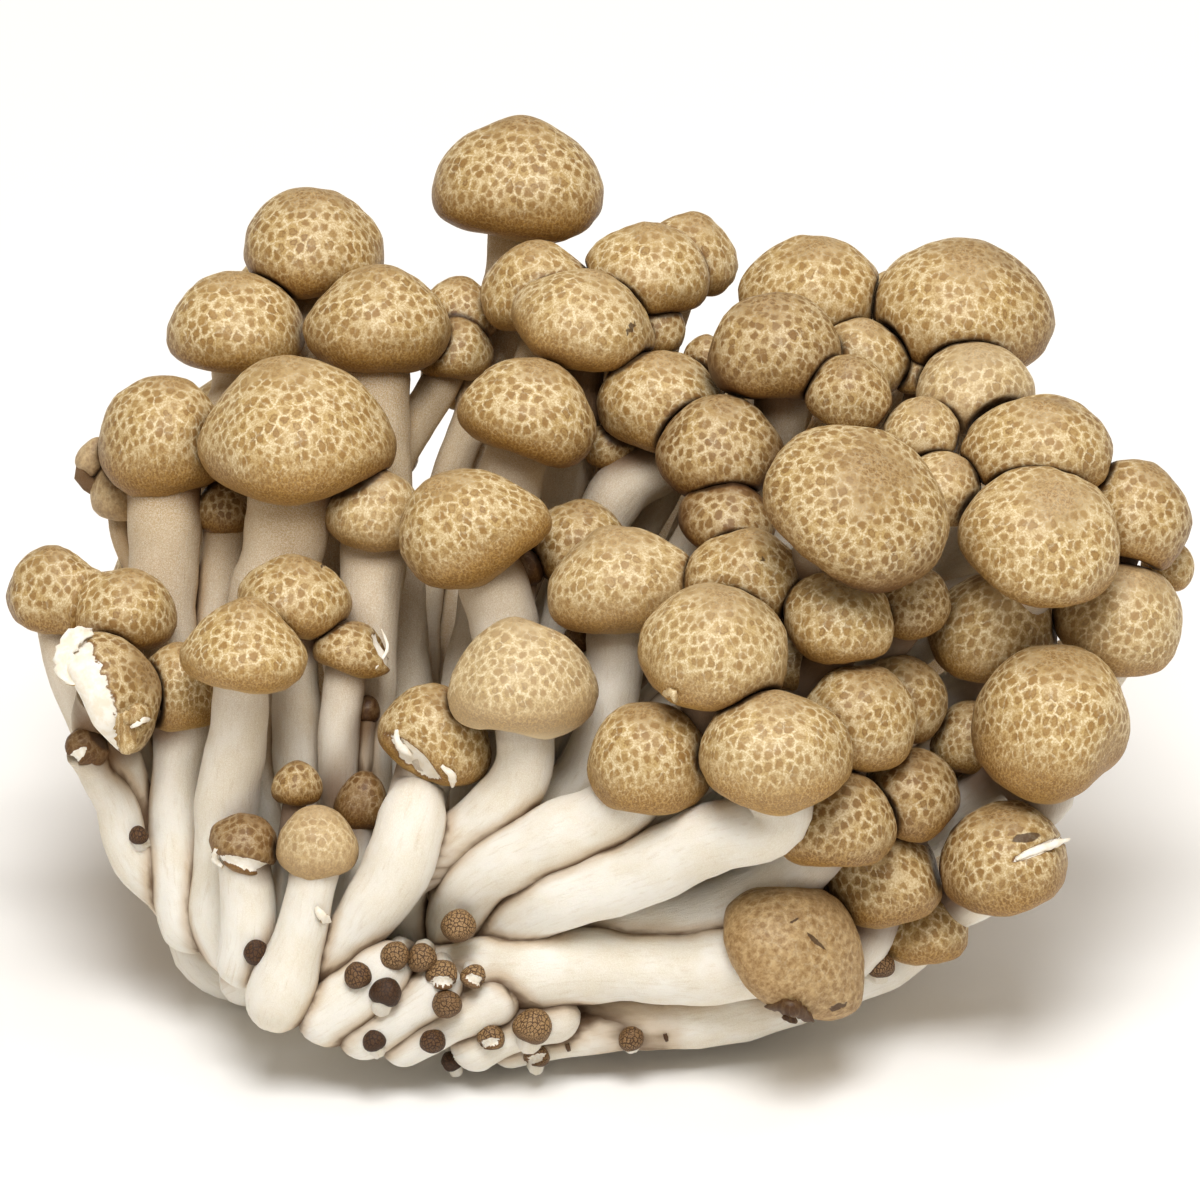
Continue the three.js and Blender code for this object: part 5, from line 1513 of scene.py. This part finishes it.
def scrap_part(row, seed):
    """A thin arched sliver that lies on what is under it."""
    ways, half, arch, tone, shown = row
    draw = np.random.RandomState(seed)
    nears = [surface_near(u, v) for u, v, _ in ways]
    nears = [max(near, max(nears) - SCRAP_DROP) for near in nears]
    knots = [(place((u, v, near + lift)), half) for (u, v, lift), near in zip(ways, nears)]
    line = smooth_route(knots, SCRAP_STEP)[:, :3]
    steps = len(line)
    tangent = np.gradient(line, axis=0)
    side = np.cross(tangent, SIDE_AXES[2])
    side /= np.linalg.norm(side, axis=1)[:, None]
    normal = np.cross(side, tangent)
    normal /= np.linalg.norm(normal, axis=1)[:, None]
    wide = half * np.sqrt(np.sin(math.pi * (np.arange(steps) + TIP_PART) / (steps + TIP_ROOM)))
    across = np.linspace(-1, 1, SCRAP_ACROSS)
    sheet = []
    for i in range(steps):
        for share in across:
            edge = wide[i] * share * (1 + SCRAP_RAGGED * draw.uniform(-1, 1) * abs(share))
            sheet.append(line[i] + side[i] * edge + normal[i] * half * arch * (1 - share * share))
    sheet = np.array(sheet)
    off = np.repeat(normal, len(across), axis=0) * SCRAP_THICK / 2
    points = np.vstack([sheet + off, sheet - off])
    count, total = len(sheet), len(points)
    faces = sheet_faces(steps, count)
    flat = (points - points[0] + draw.uniform(-SKIN_SHIFT, SKIN_SHIFT, 3)) * SCRAP_FINENESS
    torn = np.concatenate([np.full(count, shown), np.full(count, UNTOUCHED - shown)])
    return {"points": points, "faces": faces, "slots": [0] * len(faces), "skin": flat,
            "chart": flat * [1, 1, 0], "under": flat, "ring": np.full(total, SCRAP_RING),
            "tone": np.full(total, tone), "torn": torn, "mark": np.full(total, UNTOUCHED),
            "touch": np.zeros(total), "plain": np.zeros(total)}


bpy.context.view_layer.update()
scraps = cap_object("torn_scraps", [scrap_part(row, SCRAP_SEED + i) for i, row in enumerate(SCRAPS)])

foot = foot_object()
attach(foot, "root")
for piece in (stems, far_stems, pin_stems, foot, young_caps, far_caps, pin_caps, scraps):
    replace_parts(piece, "stem_clump")

# ---- floor, light and camera --------------------------------------------------------------

FLOOR_SIZE = 3.0                      # m
KEY_FAR, KEY_SIZE, KEY_POWER = 1.2, 0.6, 12.6
KEY_UP, KEY_OUT = 0.6, 0.8            # where it hangs: up along the showing side, and out from it
TOP_AT, TOP_SIZE, TOP_POWER = (0.25, 0.35, 1.1), 0.7, 3.0
AIR_COLOUR, AIR_STRENGTH = (1.0, 0.9, 0.77, 1.0), 0.38
FRAME_WIDE = 120.0                    # mm of the showing side that the camera takes in
FRAME_CENTRE = (60.0, 46.7, -4.0)     # u, v, near at the middle of its view
CAMERA_FAR = 5.0                      # m
CAMERA_REACH = 20.0                   # m
SENSOR = 36.0                         # mm


def floor_object():
    mesh = bpy.data.meshes.new("floor")
    half = FLOOR_SIZE / 2
    corners = [(-half, -half, 0), (half, -half, 0), (half, half, 0), (-half, half, 0)]
    mesh.from_pydata(corners, [], [(0, 1, 2, 3)])
    material, shader, w = new_material("floor_paper", 0.9, specular=0.1, subsurface=0.0,
                                       depth=0.001, tint=(1.0, 1.0, 1.0))
    at = w.tree.nodes.new("ShaderNodeTexCoord").outputs["Object"]
    w.set(shader.inputs["Base Color"], w.mix(w.noise(at, 3.0), PAPER_GREY, PAPER_WHITE))
    mesh.materials.append(material)
    add_object("floor", mesh)


def area_light(name, place_at, aim, size, power):
    lamp = bpy.data.lights.new(name, "AREA")
    lamp.shape = "SQUARE"
    lamp.size = size
    lamp.energy = power
    piece = add_object(name, lamp)
    piece.location = place_at
    piece.rotation_euler = (aim - place_at).to_track_quat("-Z", "Y").to_euler()


floor_object()
centre = Vector(place(FRAME_CENTRE) * MM)
outward, upward = Vector(SIDE_AXES[2]), Vector(SIDE_AXES[1])
area_light("key_softbox", centre + (upward * KEY_UP + outward * KEY_OUT) * KEY_FAR, centre,
           KEY_SIZE, KEY_POWER)
area_light("top_softbox", centre + Vector(TOP_AT), centre, TOP_SIZE, TOP_POWER)

world = bpy.data.worlds.new("studio")
world.use_nodes = True
world.node_tree.nodes["Background"].inputs["Color"].default_value = AIR_COLOUR
world.node_tree.nodes["Background"].inputs["Strength"].default_value = AIR_STRENGTH
bpy.context.scene.world = world

camera_data = bpy.data.cameras.new("camera")
camera_data.sensor_width = SENSOR
camera_data.lens = SENSOR * CAMERA_FAR / (FRAME_WIDE * MM)
camera_data.clip_end = CAMERA_REACH
camera = add_object("camera", camera_data)
camera.location = centre + outward * CAMERA_FAR
camera.rotation_euler = (math.pi / 2 - SIDE_LEAN, 0.0, 0.0)
bpy.context.scene.camera = camera

scene = bpy.context.scene
scene.view_settings.view_transform = "Standard"
scene.view_settings.look = "None"
